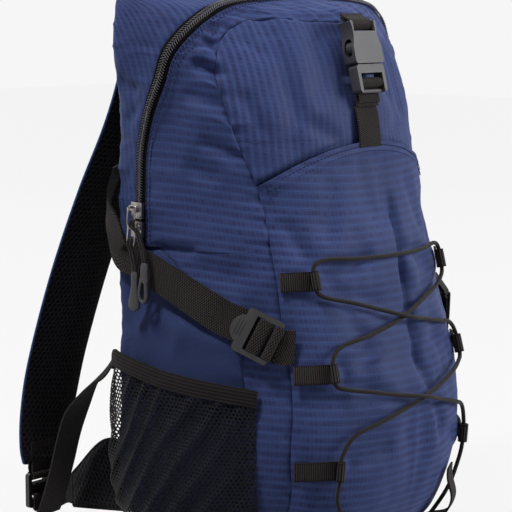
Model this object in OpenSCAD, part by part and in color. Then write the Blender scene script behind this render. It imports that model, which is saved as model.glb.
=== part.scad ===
// Daypack standing on its base. +Z is up, the front faces -Y and the back panel faces +Y.
// The origin is on the underside of the base panel. Every sewn panel is a thick sheet cut
// from one shared surface, skin(turn, z), so that panels meet edge to edge at their seams.

/* [Pack body] */
// Height from the base to the top of the back panel
pack_h = 476; // [455:1:500]
// Width at the widest place
pack_w = 276; // [255:1:300]
// Depth from the back panel to the fullest place of the front
pack_d = 208; // [190:1:228]
// Thickness of the shell cloth with its lining
cloth_t = 2.4; // [1.6:0.1:3]
// Gap left along a seam between two panels
seam_gap = 0.5; // [0.4:0.1:1]
// Height at which the sides start to round into the top
crown_z = 378; // [365:1:390]

/* [Front] */
// Height of the line that the front flap folds about
fold_z = 321; // [319:1:330]
// Height at which the edge of the opening flap meets the zip
join_z = 364; // [358:1:370]
// Height of the pocket hem at its centre
hem_z = 315; // [306:1:317]
// Drop of the pocket hem from its centre to the side seams
hem_drop = 28; // [15:1:36]
// Room inside the front pocket at its fullest
pocket_room = 13; // [9:1:18]
// Half width of the front panel at the top of the pocket
front_half_w = 98; // [90:1:104]

/* [Zip] */
// Height of the lower ends of the zip
zip_low_z = 246; // [236:1:256]
// Width of one tape from the middle of the zip to its seam
tape_w = 8; // [6:0.5:10]
// Width of one side of the coil
coil_w = 2.6; // [2:0.1:3.2]
// Height of the coil over the tape
coil_t = 1.4; // [1:0.1:1.8]
// Length of a slider
slider_l = 12; // [10:0.5:13]
// Length of a pull from its pin to the tip of its grip
pull_l = 62; // [50:1:72]

/* [Webbing] */
// Width of the main webbing
web_w = 25; // [20:1:28]
// Thickness of the webbing
web_t = 1.6; // [1.2:0.1:2]
// Width of the webbing tabs that hold the shock cord
tab_w = 14; // [10:1:18]
// Clearance between webbing and what it lies on or runs through
web_gap = 0.5; // [0.3:0.1:0.8]

/* [Buckles] */
// Wall of a moulded buckle
wall = 2.2; // [1.8:0.1:2.6]
// Thickness of a side-release buckle
buckle_t = 11; // [10:0.5:13]
// Length of the socket of a side-release buckle
socket_l = 32; // [29:1:36]
// Running clearance between plug and socket
plug_gap = 0.4; // [0.3:0.1:0.6]
// Length of the ladder end of the plug
ladder_l = 21; // [19:1:25]
// Thickness of a ladder lock
lock_t = 4; // [3.5:0.5:5]

/* [Mesh pockets] */
// Height of the pocket top at the back seam
mesh_back_z = 162; // [150:1:172]
// Height of the pocket top at the front edge
mesh_front_z = 143; // [130:1:150]
// How far the mesh stands off the side at its fullest
mesh_room = 18; // [12:1:24]
// Width of the elastic binding
elastic_w = 12; // [9:1:16]

/* [Carrying] */
// Width of a shoulder strap
strap_w = 64; // [55:1:70]
// Thickness of a shoulder strap
strap_t = 10; // [8:0.5:12]
// Thickness of the back pads
pad_t = 7; // [5:0.5:9]
// Thickness of a hip wing
wing_t = 7; // [5:0.5:9]
// How far the haul loop stands off the back panel
haul_reach = 24; // [18:1:32]

/* [Shock cord] */
// Diameter of the shock cord
cord_d = 3.2; // [2.6:0.1:3.6]
// Clearance round the shock cord inside its tabs and its lock
cord_gap = 0.5; // [0.4:0.1:0.8]
// Radius of the cord lock barrel
barrel_r = 8; // [7:0.5:10]
// Length of the cord lock barrel
barrel_l = 20; // [17:1:24]

/* [Hidden] */
$fn = 48;

// ---------------------------------------------------------------- profiles of the body
// Each row is [share of the height, share of the width or depth].
WIDTH = [[0, .783], [.095, .92], [.23, .95], [.46, .92], [.67, .95], [.84, 1], [1, 1]];
FRONT = [[0, -.404], [.095, -.567], [.22, -.625], [.42, -.524], [.61, -.413], [.735, -.365], [.83, -.298],
    [.857, -.26], [.874, -.202], [.884, -.096], [.897, .01], [.924, .106], [.958, .192], [1, .28]];
MIDDLE = [[0, 0], [.42, .024], [.735, .106], [.882, .144], [.945, .212], [1, .29]];
BACK = [[0, .298], [.095, .356], [.25, .375], [.55, .356], [.735, .322], [.882, .312], [1, .308]];
// Power of the front half of a section: 2 is an ellipse, more is squarer
FRONT_POWER = [[0, 2.4], [.63, 2.3], [.81, 2.05], [.861, 1.75], [1, 1.8]];
// How much the front half narrows towards the front
FRONT_TAPER = [[0, .06], [.525, .08], [.714, .1], [.84, .3], [1, .3]];
back_power = 5;
top_power = 2.5;
// Zip line: [share of the height, share of the depth behind the middle plane]
ZIP = [[.525, .149], [.6, .139], [.653, .125], [.714, .08], [.76, .03], [.8, 0], [.828, -.03], [.855, -.055],
    [.9, -.08]];
// Front seam below its corner: [share of the height, share of front_half_w]
SEAM = [[0, .98], [.115, 1], [.2, 1.03], [.315, 1], [.42, .98], [.5, .97], [.61, 1], [.672, 1.08], [.727, 1.12],
    [.784, 1.12], [.82, 1.05]];
// Front seam over the top: [share of front_half_w, share of the height]
SEAM_TOP = [[0, .851], [.5, .855], [.76, .854], [.93, .842], [1.05, .82]];
back_seam = 133;
z_floor = cloth_t + seam_gap;
side_top_z = zip_low_z - 6;
shell_low_z = side_top_z + seam_gap;
top_z = pack_h - 1.5;
corner_x = front_half_w*1.05;
corner_z = pack_h*.82;

function slope(t, i) = i == 0 ? (t[1][1] - t[0][1])/(t[1][0] - t[0][0])
    : i == len(t) - 1 ? (t[i][1] - t[i - 1][1])/(t[i][0] - t[i - 1][0])
    : let (a = t[i][0] - t[i - 1][0], b = t[i + 1][0] - t[i][0])
      ((t[i][1] - t[i - 1][1])/a*b + (t[i + 1][1] - t[i][1])/b*a)/(a + b);
function span(x, t, i = 0) = i >= len(t) - 2 || x < t[i + 1][0] ? i : span(x, t, i + 1);
// Smooth curve through the rows of table t
function curve(x, t) = let (c = min(max(x, t[0][0]), t[len(t) - 1][0]), i = span(c, t),
    h = t[i + 1][0] - t[i][0], s = (c - t[i][0])/h)
    (2*s^3 - 3*s^2 + 1)*t[i][1] + (s^3 - 2*s^2 + s)*h*slope(t, i)
    + (3*s^2 - 2*s^3)*t[i + 1][1] + (s^3 - s^2)*h*slope(t, i + 1);

function half_w(z) = let (t = min(1, max(0, (z - crown_z)/(pack_h - crown_z))))
    pack_w/2*curve(z/pack_h, WIDTH)*pow(1 - pow(t, top_power), 1/top_power);
function front_y(z) = pack_d*curve(z/pack_h, FRONT);
function mid_y(z) = pack_d*curve(z/pack_h, MIDDLE);
function back_y(z) = pack_d*curve(z/pack_h, BACK);
function zip_y(z) = pack_d*curve(z/pack_h, ZIP);
function seam_x(z) = front_half_w*curve(z/pack_h, SEAM);

// Surface of the body: turn 0 is the front centre, 90 the right side, 180 the back centre
function surf(turn, z) = let (front = cos(turn) > 0, n = front ? curve(z/pack_h, FRONT_POWER) : back_power,
    r = pow(pow(abs(sin(turn)), n) + pow(abs(cos(turn)), n), -1/n), u = r*sin(turn), v = r*cos(turn),
    m = mid_y(z), k = front ? curve(z/pack_h, FRONT_TAPER) : 0)
    [half_w(z)*u*(1 - k*v*v), front ? m - (m - front_y(z))*v : m - (back_y(z) - m)*v, z];
function unit(v) = v/norm(v);
function out_of(turn, z) = unit(cross(surf(turn + 1, z) - surf(turn - 1, z),
    surf(turn, min(z + 1, pack_h)) - surf(turn, z - 1)));
// Point d outside the surface
function skin(turn, z, d = 0) = surf(turn, z) + d*out_of(turn, z);
// Turn at which a section reaches a y, on the right side
function turn_y(y, z) = let (m = mid_y(z), front = y < m, n = front ? curve(z/pack_h, FRONT_POWER) : back_power,
    v = min(1, (y - m)/(front ? front_y(z) - m : back_y(z) - m)), u = pow(1 - pow(v, n), 1/n))
    front ? atan2(u, v) : 180 - atan2(u, v);
// Turn at which the front half of a section reaches an x
function turn_x(x, z, lo = 0, hi = 89.9, i = 0) = let (m = (lo + hi)/2) i > 16 ? m
    : surf(m, z)[0] < x ? turn_x(x, z, m, hi, i + 1) : turn_x(x, z, lo, m, i + 1);
function mix(a, b, t) = a + (b - a)*t;
// Height at which the zip crosses the middle plane
function zip_top(lo = .86*pack_h, hi = .92*pack_h, i = 0) = let (m = (lo + hi)/2) i > 16 ? m
    : front_y(m) < zip_y(m) ? zip_top(m, hi, i + 1) : zip_top(lo, m, i + 1);
zip_top_z = zip_top();

// ---------------------------------------------------------------- lines on the body
// A line is given as [turn, z]. Over an arch, w runs from -1 at the lower left to 1 at the lower right.
function sgn(w) = w < 0 ? -1 : 1;
function zip_half(s, z0) = let (z = mix(z0, zip_top_z, 1 - (1 - s)^2)) [s > .9999 ? 0 : turn_y(zip_y(z), z), z];
function zip_line(w, z0) = let (q = zip_half(1 - abs(w), z0)) [sgn(w)*q[0], q[1]];
function seam_top_z(x) = pack_h*curve(abs(x)/front_half_w, SEAM_TOP);
corner_share = .42;
function seam_half(s, z0) = s < corner_share
    ? let (z = mix(z0, corner_z, s/corner_share)) [turn_x(seam_x(z), z), z]
    : let (x = mix(corner_x, 0, (s - corner_share)/(1 - corner_share)), z = seam_top_z(x))
      [x < .01 ? 0 : turn_x(x, z), z];
function seam_line(w, z0) = let (q = seam_half(1 - abs(w), z0)) [sgn(w)*q[0], q[1]];
function back_half(s, z0) = [back_seam*(1 - pow(s, 9)), mix(z0, top_z, 1 - pow(1 - s, 2.2))];

// Steps of every sheet that follows the arch of the flap, and of each leg below it
arch_n = 28;
leg_n = 6;
function arch_w(k) = -1 + 2*k/arch_n;
// Step i of the zip line with its legs, from the lower left over the top to the lower right
function zip_at(i, z0) = let (j = i < leg_n ? i : 2*leg_n + arch_n - i)
    i >= leg_n && i <= leg_n + arch_n ? zip_line(arch_w(i - leg_n), join_z)
    : let (z = mix(z0, join_z, j/leg_n)) [(i < leg_n ? -1 : 1)*turn_y(zip_y(z), z), z];
function back_at(i, z0) = let (j = i < leg_n ? i : 2*leg_n + arch_n - i, w = arch_w(i - leg_n))
    i >= leg_n && i <= leg_n + arch_n ? let (q = back_half(1 - abs(w), join_z)) [sgn(w)*q[0], q[1]]
    : [(i < leg_n ? -1 : 1)*back_seam, mix(z0, join_z, j/leg_n)];
// The point of the surface that lies d sideways from q, on a line that runs from qa to qb.
// Positive d is to the right of somebody who walks the line with the outside overhead.
function beside(q, qa, qb, d) = let (o = out_of(q[0], q[1]),
    b = d*cross(unit(surf(qb[0], qb[1]) - surf(qa[0], qa[1])), o),
    sa = surf(q[0] + .5, q[1]) - surf(q[0] - .5, q[1]), sz = surf(q[0], q[1] + .5) - surf(q[0], q[1] - .5),
    m11 = sa*sa, m12 = sa*sz, m22 = sz*sz, r1 = b*sa, r2 = b*sz, det = m11*m22 - m12*m12)
    [q[0] + (r1*m22 - r2*m12)/det, q[1] + (r2*m11 - r1*m12)/det];
// Lines beside the zip and the front seam: positive d is towards the front of the pack
function zip_side(i, z0, d) = beside(zip_at(i, z0), zip_at(max(i - 1, 0), z0),
    zip_at(min(i + 1, 2*leg_n + arch_n), z0), d);
function leg_q(z) = [turn_y(zip_y(z), z), z];
function leg_side(z, d) = beside(leg_q(z), leg_q(z + 3), leg_q(z - 3), d);
function seam_side(k, d) = beside(seam_line(arch_w(k), fold_z), seam_line(arch_w(max(k - 1, 0)), fold_z),
    seam_line(arch_w(min(k + 1, arch_n)), fold_z), d);

// ---------------------------------------------------------------- building blocks
// Closed slab between two grids of points with n by m cells
module slab(outer, inner, n, m) {
    c = (n + 1)*(m + 1);
    function id(k, i, j) = k*c + i*(m + 1) + j;
    function quad(a, b, c, d) = [[a, b, c], [a, c, d]];
    polyhedron(concat(outer, inner), concat(
        [for (i = [0:n - 1]) for (j = [0:m - 1]) each quad(id(0, i, j), id(0, i, j + 1), id(0, i + 1, j + 1),
            id(0, i + 1, j))],
        [for (i = [0:n - 1]) for (j = [0:m - 1]) each quad(id(1, i, j), id(1, i + 1, j), id(1, i + 1, j + 1),
            id(1, i, j + 1))],
        [for (i = [0:n - 1]) each quad(id(0, i, 0), id(0, i + 1, 0), id(1, i + 1, 0), id(1, i, 0))],
        [for (i = [0:n - 1]) each quad(id(0, i + 1, m), id(0, i, m), id(1, i, m), id(1, i + 1, m))],
        [for (j = [0:m - 1]) each quad(id(0, 0, j + 1), id(0, 0, j), id(1, 0, j), id(1, 0, j + 1))],
        [for (j = [0:m - 1]) each quad(id(0, n, j), id(0, n, j + 1), id(1, n, j + 1), id(1, n, j))]));
}
// Sheet over the body: f(u, v) gives [turn, z, outer offset, inner offset]
module sheet(f, n, m) {
    q = [for (i = [0:n]) for (j = [0:m]) f(i/n, j/m)];
    slab([for (p = q) skin(p[0], p[1], p[2])], [for (p = q) skin(p[0], p[1], p[3])], n, m);
}
// Ribbon of a width and thickness along a path; across gives the direction of the width at each point
module ribbon(path, across, w, t) {
    n = len(path) - 1;
    along = [for (i = [0:n]) unit(path[min(i + 1, n)] - path[max(i - 1, 0)])];
    side = [for (i = [0:n]) unit(across[i] - (across[i]*along[i])*along[i])];
    face = [for (i = [0:n]) cross(side[i], along[i])];
    ws = is_list(w) ? w : [for (i = [0:n]) w];
    slab([for (i = [0:n]) for (k = [-.5, .5]) path[i] + k*ws[i]*side[i] - t/2*face[i]],
        [for (i = [0:n]) for (k = [-.5, .5]) path[i] + k*ws[i]*side[i] + t/2*face[i]], n, 1);
}
// Points along a smooth curve through p, k to a stretch
function smooth(p, k) = let (n = len(p) - 1) concat([for (i = [0:n - 1]) for (j = [0:k - 1])
    let (t = j/k, a = p[max(i - 1, 0)], b = p[i], c = p[i + 1], d = p[min(i + 2, n)])
    (2*b + (c - a)*t + (2*a - 5*b + 4*c - d)*t^2 + (3*b - a - 3*c + d)*t^3)/2], [p[n]]);
// Frame with its y along up and its z along out
module seat(p, out, up) {
    y = unit(up - (up*unit(out))*unit(out));
    z = unit(out);
    x = cross(y, z);
    multmatrix([[x[0], y[0], z[0], p[0]], [x[1], y[1], z[1], p[1]], [x[2], y[2], z[2], p[2]], [0, 0, 0, 1]])
        children();
}
// Rectangle with round corners, centred
module round_rect(w, l, r) {
    square([w - 2*r, l], center = true);
    square([w, l - 2*r], center = true);
    for (x = [-1, 1], y = [-1, 1]) translate([x*(w/2 - r), y*(l/2 - r)]) circle(r);
}
// Outline of a strip of thickness t along flat points p
function strip(p, t) = let (n = len(p) - 1, d = [for (i = [0:n - 1]) unit(p[i + 1] - p[i])],
    nr = [for (i = [0:n]) let (a = d[max(i - 1, 0)], b = d[min(i, n - 1)], m = unit([-a[1] - b[1], a[0] + b[0]]))
        m/(m*[-b[1], b[0]])])
    concat([for (i = [0:n]) p[i] + nr[i]*t/2], [for (i = [n:-1:0]) p[i] - nr[i]*t/2]);
// Webbing of width w bent along flat points p of the local y, z plane
module bent_web(p, w = web_w) rotate([90, 0, 90]) linear_extrude(w, center = true) polygon(strip(p, web_t));

// ---------------------------------------------------------------- frames of the hardware
// The right-hand one of a pair is drawn and the left one is its mirror image.
// Line of the side compression webbing: [y, z] from front to back
COMPRESSION = [[-92, 165], [-70, 180], [-53, 189], [-8, 212], [30, 227], [58, 238]];
function comp_z(y) = curve(y, COMPRESSION);
function on_side(y, z, d) = skin(turn_y(y, z), z, d);
comp_back_y = 57;
comp_lock_y = -66;
comp_run_end_y = comp_lock_y + 23;
lock_lift = web_gap + web_t + 1.6;
lock_at = on_side(comp_lock_y, comp_z(comp_lock_y), lock_lift);
lock_out = out_of(turn_y(comp_lock_y, comp_z(comp_lock_y)), comp_z(comp_lock_y));
lock_up = on_side(comp_lock_y + 9, comp_z(comp_lock_y + 9), 0) - on_side(comp_lock_y - 9, comp_z(comp_lock_y - 9), 0);

buckle_z = 370;
buckle_lift = 1.5;
buckle_at = skin(0, buckle_z, buckle_lift);
buckle_out = out_of(0, buckle_z);
buckle_up = surf(0, buckle_z + 20) - surf(0, buckle_z - 20);

hip_buckle_at = [8, 203, 1.4];
hip_buckle_up = [-1, 0, 0];

function zip_point(z, d) = let (q = [-turn_y(zip_y(z), z), z]) skin(q[0], q[1], d);
upper_z = zip_low_z + 21;
lower_z = upper_z - slider_l - 2;
upper_travel = 34;
slider_up = zip_point(upper_z + upper_travel, 0) - zip_point(upper_z, 0);
slider_out = out_of(-turn_y(zip_y(upper_z), upper_z), upper_z);

// ---------------------------------------------------------------- shell
blue = "#2b3b78";
dark_blue = "#1f2c5c";
black = "#1d1c20";
grey = "#3d3b42";

module base_panel() color(dark_blue) linear_extrude(cloth_t)
    polygon([for (a = [-180:7.5:172.5]) let (p = surf(a, 0)) [p[0], p[1]]]);

module back_panel() color(dark_blue) sheet(function(u, v)
    [mix(back_seam + .3, 359.7 - back_seam, u), mix(z_floor, top_z, 1 - pow(1 - v, 1.6)), 0, -cloth_t], 8, 13);

// Two air-mesh pads with a channel between them
module back_pads() color(black) for (side = [0, 1]) mirror([side, 0, 0])
    sheet(function(u, v) [mix(143, 176, u), mix(96, 330, v), seam_gap + pad_t*min(1, 6*min(u, 1 - u) + .35,
        10*min(v, 1 - v) + .35), seam_gap], 6, 8);

module side_panel() sheet(function(u, v) let (z = mix(z_floor, side_top_z, v))
    [mix(turn_x(seam_x(z) + seam_gap/2, z), back_seam - .3, u), z, 0, -cloth_t], 9, 10);
module right_side_panel() color(dark_blue) side_panel();
module left_side_panel() color(dark_blue) mirror([1, 0, 0]) side_panel();

module side_gusset() sheet(function(u, v) let (z = mix(shell_low_z, fold_z - 2*seam_gap, v),
    a = [turn_x(seam_x(z) + seam_gap/2, z), z],
    b = leg_side(mix(shell_low_z + seam_gap/2, join_z - 2*seam_gap, v), tape_w + seam_gap))
    [mix(a[0], b[0], u), mix(a[1], b[1], u), 0, -cloth_t], 5, 6);
module right_side_gusset() color(blue) side_gusset();
module left_side_gusset() color(blue) mirror([1, 0, 0]) side_gusset();

module rear_gusset() color(blue) sheet(function(u, v) let (i = round(u*(2*leg_n + arch_n)),
    a = zip_side(i, shell_low_z, -tape_w - seam_gap), b = back_at(i, shell_low_z)) [mix(a[0], b[0], v*.998), mix(a[1], b[1], v), 0,
    -cloth_t], 2*leg_n + arch_n, 4);

function room_at(u, v) = pocket_room*sin(180*u)*curve(v, [[0, 0], [.25, .8], [.6, 1], [.86, .3], [.95, 0], [1, 0]]);
module front_lower_panel() color(blue) sheet(function(u, v) let (z = mix(z_floor, fold_z - 2*seam_gap, v),
    x = (2*u - 1)*(seam_x(z) - seam_gap), d = -room_at(u, v))
    [sgn(x)*turn_x(abs(x), z), z, d, d - cloth_t], 10, 12);

pocket_low_z = 8;
module front_pocket() color(blue) sheet(function(u, v) let (k = 2*u - 1,
    z = mix(pocket_low_z, hem_z - hem_drop*k*k, v), x = k*(seam_x(z) - seam_gap))
    [sgn(x)*turn_x(abs(x), z), z, seam_gap + cloth_t, seam_gap], 12, 14);

module flap_panel() color(blue) sheet(function(u, v) let (k = 2*u - 1,
    x = k*(seam_x(mix(fold_z, corner_z, v)) - seam_gap), z = mix(fold_z, seam_top_z(x) - 2*seam_gap, v))
    [sgn(x)*turn_x(abs(x), z), z, 0, -cloth_t], 12, 7);

module flap_gusset() color(blue) sheet(function(u, v) let (k = round(u*arch_n), a = seam_side(k, -seam_gap),
    b = zip_side(k + leg_n, shell_low_z, tape_w + seam_gap)) [mix(a[0], b[0], v), mix(a[1], b[1], v), 0, -cloth_t],
    arch_n, 4);

// ---------------------------------------------------------------- zip
tape_t = 1.2;
TAPE_D = [.3, coil_w, coil_w + .4, tape_w];
TAPE_H = [coil_t, coil_t, 0, 0];
module zip_rear_tape() color(black) sheet(function(u, v) let (i = round(u*(2*leg_n + arch_n)), j = round(v*3),
    q = zip_side(i, shell_low_z, -TAPE_D[j]))
    [q[0], q[1], u == 0 || u == 1 ? 0 : TAPE_H[j], -tape_t], 2*leg_n + arch_n, 3);
module zip_flap_tape() color(black) sheet(function(u, v) let (k = round(u*arch_n), j = 3 - round(v*3),
    q = zip_side(k + leg_n, shell_low_z, TAPE_D[j])) [q[0], q[1], TAPE_H[j], -tape_t], arch_n, 3);
module zip_lower_tapes() color(black) for (side = [0, 1]) mirror([side, 0, 0]) sheet(function(u, v)
    let (j = round(v*3), q = leg_side(mix(shell_low_z, join_z - 2*seam_gap, u), TAPE_D[j]))
    [q[0], q[1], u == 0 ? 0 : TAPE_H[j], -tape_t], leg_n, 3);

pin_z = 8.2;
pin_r = .9;
pin_y = 1;
module slider() {
    top = coil_t + .9;
    flange_x = coil_w + 1;
    translate([-flange_x - 1.6, -slider_l/2, top]) cube([2*flange_x + 3.2, slider_l, 1.6]);
    for (s = [-1, 1]) {
        translate([s*(flange_x + .8) - .8, -slider_l/2, .5]) cube([1.6, slider_l, top]);
        translate([s*2.9 - .7, pin_y - 1.6, top + 1]) cube([1.4, 3.2, pin_z - top + .6]);
    }
    translate([0, pin_y, pin_z]) rotate([0, 90, 0]) cylinder(r = pin_r, h = 5.8, center = true);
}
module at_slider(z) seat(zip_point(z, 0), slider_out, slider_up) children();
module upper_slider() color("#b9b9bd") at_slider(upper_z) slider();
module lower_slider() color("#b9b9bd") at_slider(lower_z) slider();

// Pull with its eye round the pin, a stem that steps sideways past the other slider, and a grip
module pull(step_x) {
    stem_t = 1.6;
    grip_l = 24;
    grip_w = 8.5;
    reach = pull_l - grip_l;
    translate([0, pin_y, pin_z]) {
        rotate([0, 90, 0]) difference() {
            cylinder(r = pin_r + 1.5, h = 3.6, center = true);
            cylinder(r = pin_r + .3, h = 5, center = true);
        }
        translate([0, 0, -stem_t/2]) {
            linear_extrude(stem_t) {
                translate([-1.8, -7]) square([3.6, 5.1]);
                translate([min(0, step_x) - 1.8, -9.5]) square([abs(step_x) + 3.6, 3.2]);
                for (k = [-1, 1]) translate([step_x + k*1.6 - .7, -reach]) square([1.4, reach - 7]);
            }
        }
        translate([step_x, -reach - grip_l/2, -2]) linear_extrude(4) difference() {
            round_rect(grip_w, grip_l + 2, grip_w/2 - .4);
            translate([0, grip_l/2 - 3]) circle(1.3);
        }
    }
}
module upper_pull() color(grey) at_slider(upper_z) pull(8.5);
module lower_pull() color(grey) at_slider(lower_z) pull(-5);

// ---------------------------------------------------------------- mesh side pockets
mesh_t = 1.2;
mesh_front_y = -70;
function mesh_start(z) = max(turn_y(mesh_front_y, z), turn_x(seam_x(z) + 1.5, z));
function mesh_top(u) = mix(mesh_front_z, mesh_back_z, u^.8);
function mesh_off(u, v) = web_gap + mesh_room*pow(sin(180*u), .7)*curve(v, [[0, 0], [.28, 1], [.7, .85], [1, .38]]);
module mesh_pocket() sheet(function(u, v) let (z = mix(z_floor, mesh_top(u) - elastic_w - .4, v), d = mesh_off(u, v*.93))
    [mix(mesh_start(z), back_seam - 1, u), z, d + mesh_t, d], 10, 8);
module pocket_elastic() sheet(function(u, v) let (z = mesh_top(u) - elastic_w*(1 - v), d = mesh_off(u, .93 + .07*v))
    [mix(mesh_start(z), back_seam - 1, u), z, d + 2, d], 10, 1);
module right_mesh_pocket() color(black) mesh_pocket();
module left_mesh_pocket() color(black) mirror([1, 0, 0]) mesh_pocket();
module pocket_elastics() color(grey) for (side = [0, 1]) mirror([side, 0, 0]) pocket_elastic();

// ---------------------------------------------------------------- side-release buckle
// Local y runs from the plug into the socket and local z away from what the buckle lies on.
buckle_w = web_w + 9;
cavity_x = web_w/2 + .7;
socket_bar_y = socket_l - 2.4;
bar_r = 2;
mid_z = buckle_t/2;
window_y = 12.3;
head_r = 4.9;
mid_bar_y = -13.8;
end_bar_y = -ladder_l + .8;
end_bar_r = 1.6;
block_y = -7.2;
mouth_gap = .6;
module buckle_socket() {
    waist_r = 24;
    difference() {
        linear_extrude(buckle_t) difference() {
            translate([0, socket_l/2]) round_rect(buckle_w, socket_l, 2.5);
            for (s = [-1, 1]) translate([s*(buckle_w/2 + waist_r - 2.6), socket_l - 8]) circle(waist_r, $fn = 96);
        }
        translate([-cavity_x, -1, wall]) cube([2*cavity_x, 22.5, buckle_t - 2*wall]);
        for (s = [-1, 1]) for (e = [-3.3, 3.3]) translate([s*(buckle_w/2), window_y + e, mid_z]) rotate([0, 90, 0])
            cylinder(r = mid_z - wall, h = 12, center = true);
        for (s = [-1, 1]) translate([s*(buckle_w/2) - 6, window_y - 3.3, wall]) cube([12, 6.6, buckle_t - 2*wall]);
        translate([-web_w/2 - .4, socket_l - 8, -1]) cube([web_w + .8, 9, buckle_t + 2]);
    }
    translate([0, socket_bar_y, mid_z]) rotate([0, 90, 0]) cylinder(r = bar_r, h = web_w + 2, center = true);
}
module buckle_plug() {
    translate([0, 0, 2]) linear_extrude(buckle_t - 3) difference() {
        translate([0, -ladder_l/2 - mouth_gap]) round_rect(buckle_w - 1, ladder_l, 3);
        translate([-web_w/2 - .4, -ladder_l - 2]) square([web_w + .8, ladder_l + block_y + 2]);
    }
    for (b = [[mid_bar_y, bar_r - .1], [end_bar_y, end_bar_r]]) translate([0, b[0], 6]) rotate([0, 90, 0])
        cylinder(r = b[1], h = web_w + 2, center = true);
    translate([-1.6, -1, wall + plug_gap]) cube([3.2, 19, buckle_t - 2*wall - 2*plug_gap]);
}
// Two arms with round latch heads that spring into the windows of the socket
module buckle_prongs() translate([0, 0, wall + plug_gap]) linear_extrude(buckle_t - 2*wall - 2*plug_gap)
    for (s = [0, 1]) mirror([s, 0]) {
        polygon([[8.6, -mouth_gap], [cavity_x - .5, -mouth_gap], [11.3, 5], [12.2, 8.5], [10.6, 12], [7.6, 9],
            [8.2, 4]]);
        intersection() {
            translate([10.9, window_y]) circle(head_r);
            translate([7.4, 0]) square([12, 20]);
        }
    }
// Ring of webbing round a bar, with a tail
module bar_ring(y, z, r) rotate([90, 0, 90]) linear_extrude(web_w, center = true) translate([y, z]) difference() {
    circle(r + .4 + web_t);
    circle(r + .4);
}
// Webbing threaded through the ladder of a plug
ladder_run = -ladder_l - 9;
module plug_webbing() bent_web([[ladder_run, .9], [-12.2, .9], [-10.7, 2.3], [-10.7, 6], [-11.7, 8.2], [mid_bar_y, 9.05],
    [-15.9, 8.2], [-16.9, 6], [-17.2, 4.3], [-18.8, 3.1], [ladder_run + 2, 3.1]]);

module top_strap() color(black) seat(buckle_at, buckle_out, buckle_up) {
    bar_ring(socket_bar_y, mid_z, bar_r);
    bent_web([[socket_bar_y + 2.6, mid_z + 2.2], [socket_bar_y + 5, mid_z - 1], [socket_bar_y + 7, 1.2]]);
}
module top_buckle_socket() color(grey) seat(buckle_at, buckle_out, buckle_up) buckle_socket();
module top_buckle_plug() color(grey) seat(buckle_at, buckle_out, buckle_up) buckle_plug();
module top_buckle_prongs() color(grey) seat(buckle_at, buckle_out, buckle_up) buckle_prongs();
module top_buckle_webbing() color(black) seat(buckle_at, buckle_out, buckle_up) plug_webbing();
// Run of the buckle webbing from the fold up to the plug
run_top_z = buckle_z + ladder_run;
module top_webbing_run() color(black) sheet(function(u, v) let (x = (u - .5)*web_w,
    z = mix(fold_z + 1, run_top_z, v))
    [sgn(x)*turn_x(abs(x), z), z, web_gap + web_t, web_gap], 4, 3);

// ---------------------------------------------------------------- ladder locks
// Local y runs from the anchor bar to the thumb tab and local z away from what the lock lies on.
rail_w = 3.6;
anchor_y = -13;
lock_bar_r = lock_t/2;
tab_y = 11;
module ladder_lock() {
    linear_extrude(lock_t) difference() {
        union() {
            translate([0, (anchor_y + tab_y)/2]) round_rect(web_w + .8 + 2*rail_w, tab_y - anchor_y + 4, 2.5);
            translate([0, tab_y - 2]) circle(11);
        }
        translate([-web_w/2 - .4, anchor_y - 4]) square([web_w + .8, -anchor_y + 4 - 5.2]);
        translate([-web_w/2 - .4, -1]) square([web_w + .8, 6.4]);
    }
    translate([0, anchor_y, lock_t/2]) rotate([0, 90, 0]) cylinder(r = lock_bar_r - .1, h = web_w + 3, center = true);
    for (k = [-1:1]) translate([0, tab_y + 3 + 2.4*k, lock_t]) rotate([0, 90, 0]) cylinder(r = .6, h = 12, center = true);
}
// Webbing that comes in under the tab, up through the slot and over the middle bar
module lock_thread() bent_web([[tab_y + 9, -1.5], [3.4, -1.5], [2.3, -.6], [2.3, 4], [1.2, lock_t + 1.3],
    [-5.4, lock_t + 1.3], [-6.5, lock_t - .2], [-6.5, -1.2], [-7.6, -2.4]]);
module at_right_lock() seat(lock_at, lock_out, lock_up) children();
module right_compression_lock() color(grey) at_right_lock() ladder_lock();
module left_compression_lock() color(grey) mirror([1, 0, 0]) at_right_lock() ladder_lock();
module right_lock_webbing() color(black) at_right_lock() lock_thread();
module left_lock_webbing() color(black) mirror([1, 0, 0]) at_right_lock() lock_thread();

half_run = web_w/2*1.09;
module compression_webbing() sheet(function(u, v) let (y = mix(comp_run_end_y, comp_back_y, u),
    z = comp_z(y) + (2*v - 1)*half_run, d = web_gap + (u > .84 ? 2.5*sin(180*(1 - u)/.16) : 0))
    [turn_y(y, z), z, d + web_t, d], 14, 1);
module right_compression_webbing() color(black) compression_webbing();
module left_compression_webbing() color(black) mirror([1, 0, 0]) compression_webbing();

// Short webbing from the front seam to the anchor bar of the compression lock
anchor_n = 4;
function lock_point(x, y, z) = let (o = unit(lock_out), up = unit(lock_up - (lock_up*o)*o)) lock_at + x*cross(up, o)
    + y*up + z*o;
anchor_turn_r = lock_bar_r + .4 + web_t/2;
function anchor_row(k, d) = let (x = (k/anchor_n - .5)*web_w, b = lock_point(x, anchor_y - 11, 0))
    concat([for (a = [240:-24:-24]) lock_point(x, anchor_y + (anchor_turn_r - d)*sin(a),
        lock_t/2 - (anchor_turn_r - d)*cos(a))], [lock_point(x, anchor_y - 4.6, .2 + d),
        skin(turn_y(b[1], b[2]), b[2] + 1, seam_gap + cloth_t + web_gap + web_t/2 + d)]);
module anchor_webbing() slab([for (k = [0:anchor_n]) each anchor_row(k, -web_t/2)],
    [for (k = [0:anchor_n]) each anchor_row(k, web_t/2)], anchor_n, 13);
module side_anchor_webbing() color(black) for (side = [0, 1]) mirror([side, 0, 0]) anchor_webbing();

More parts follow.
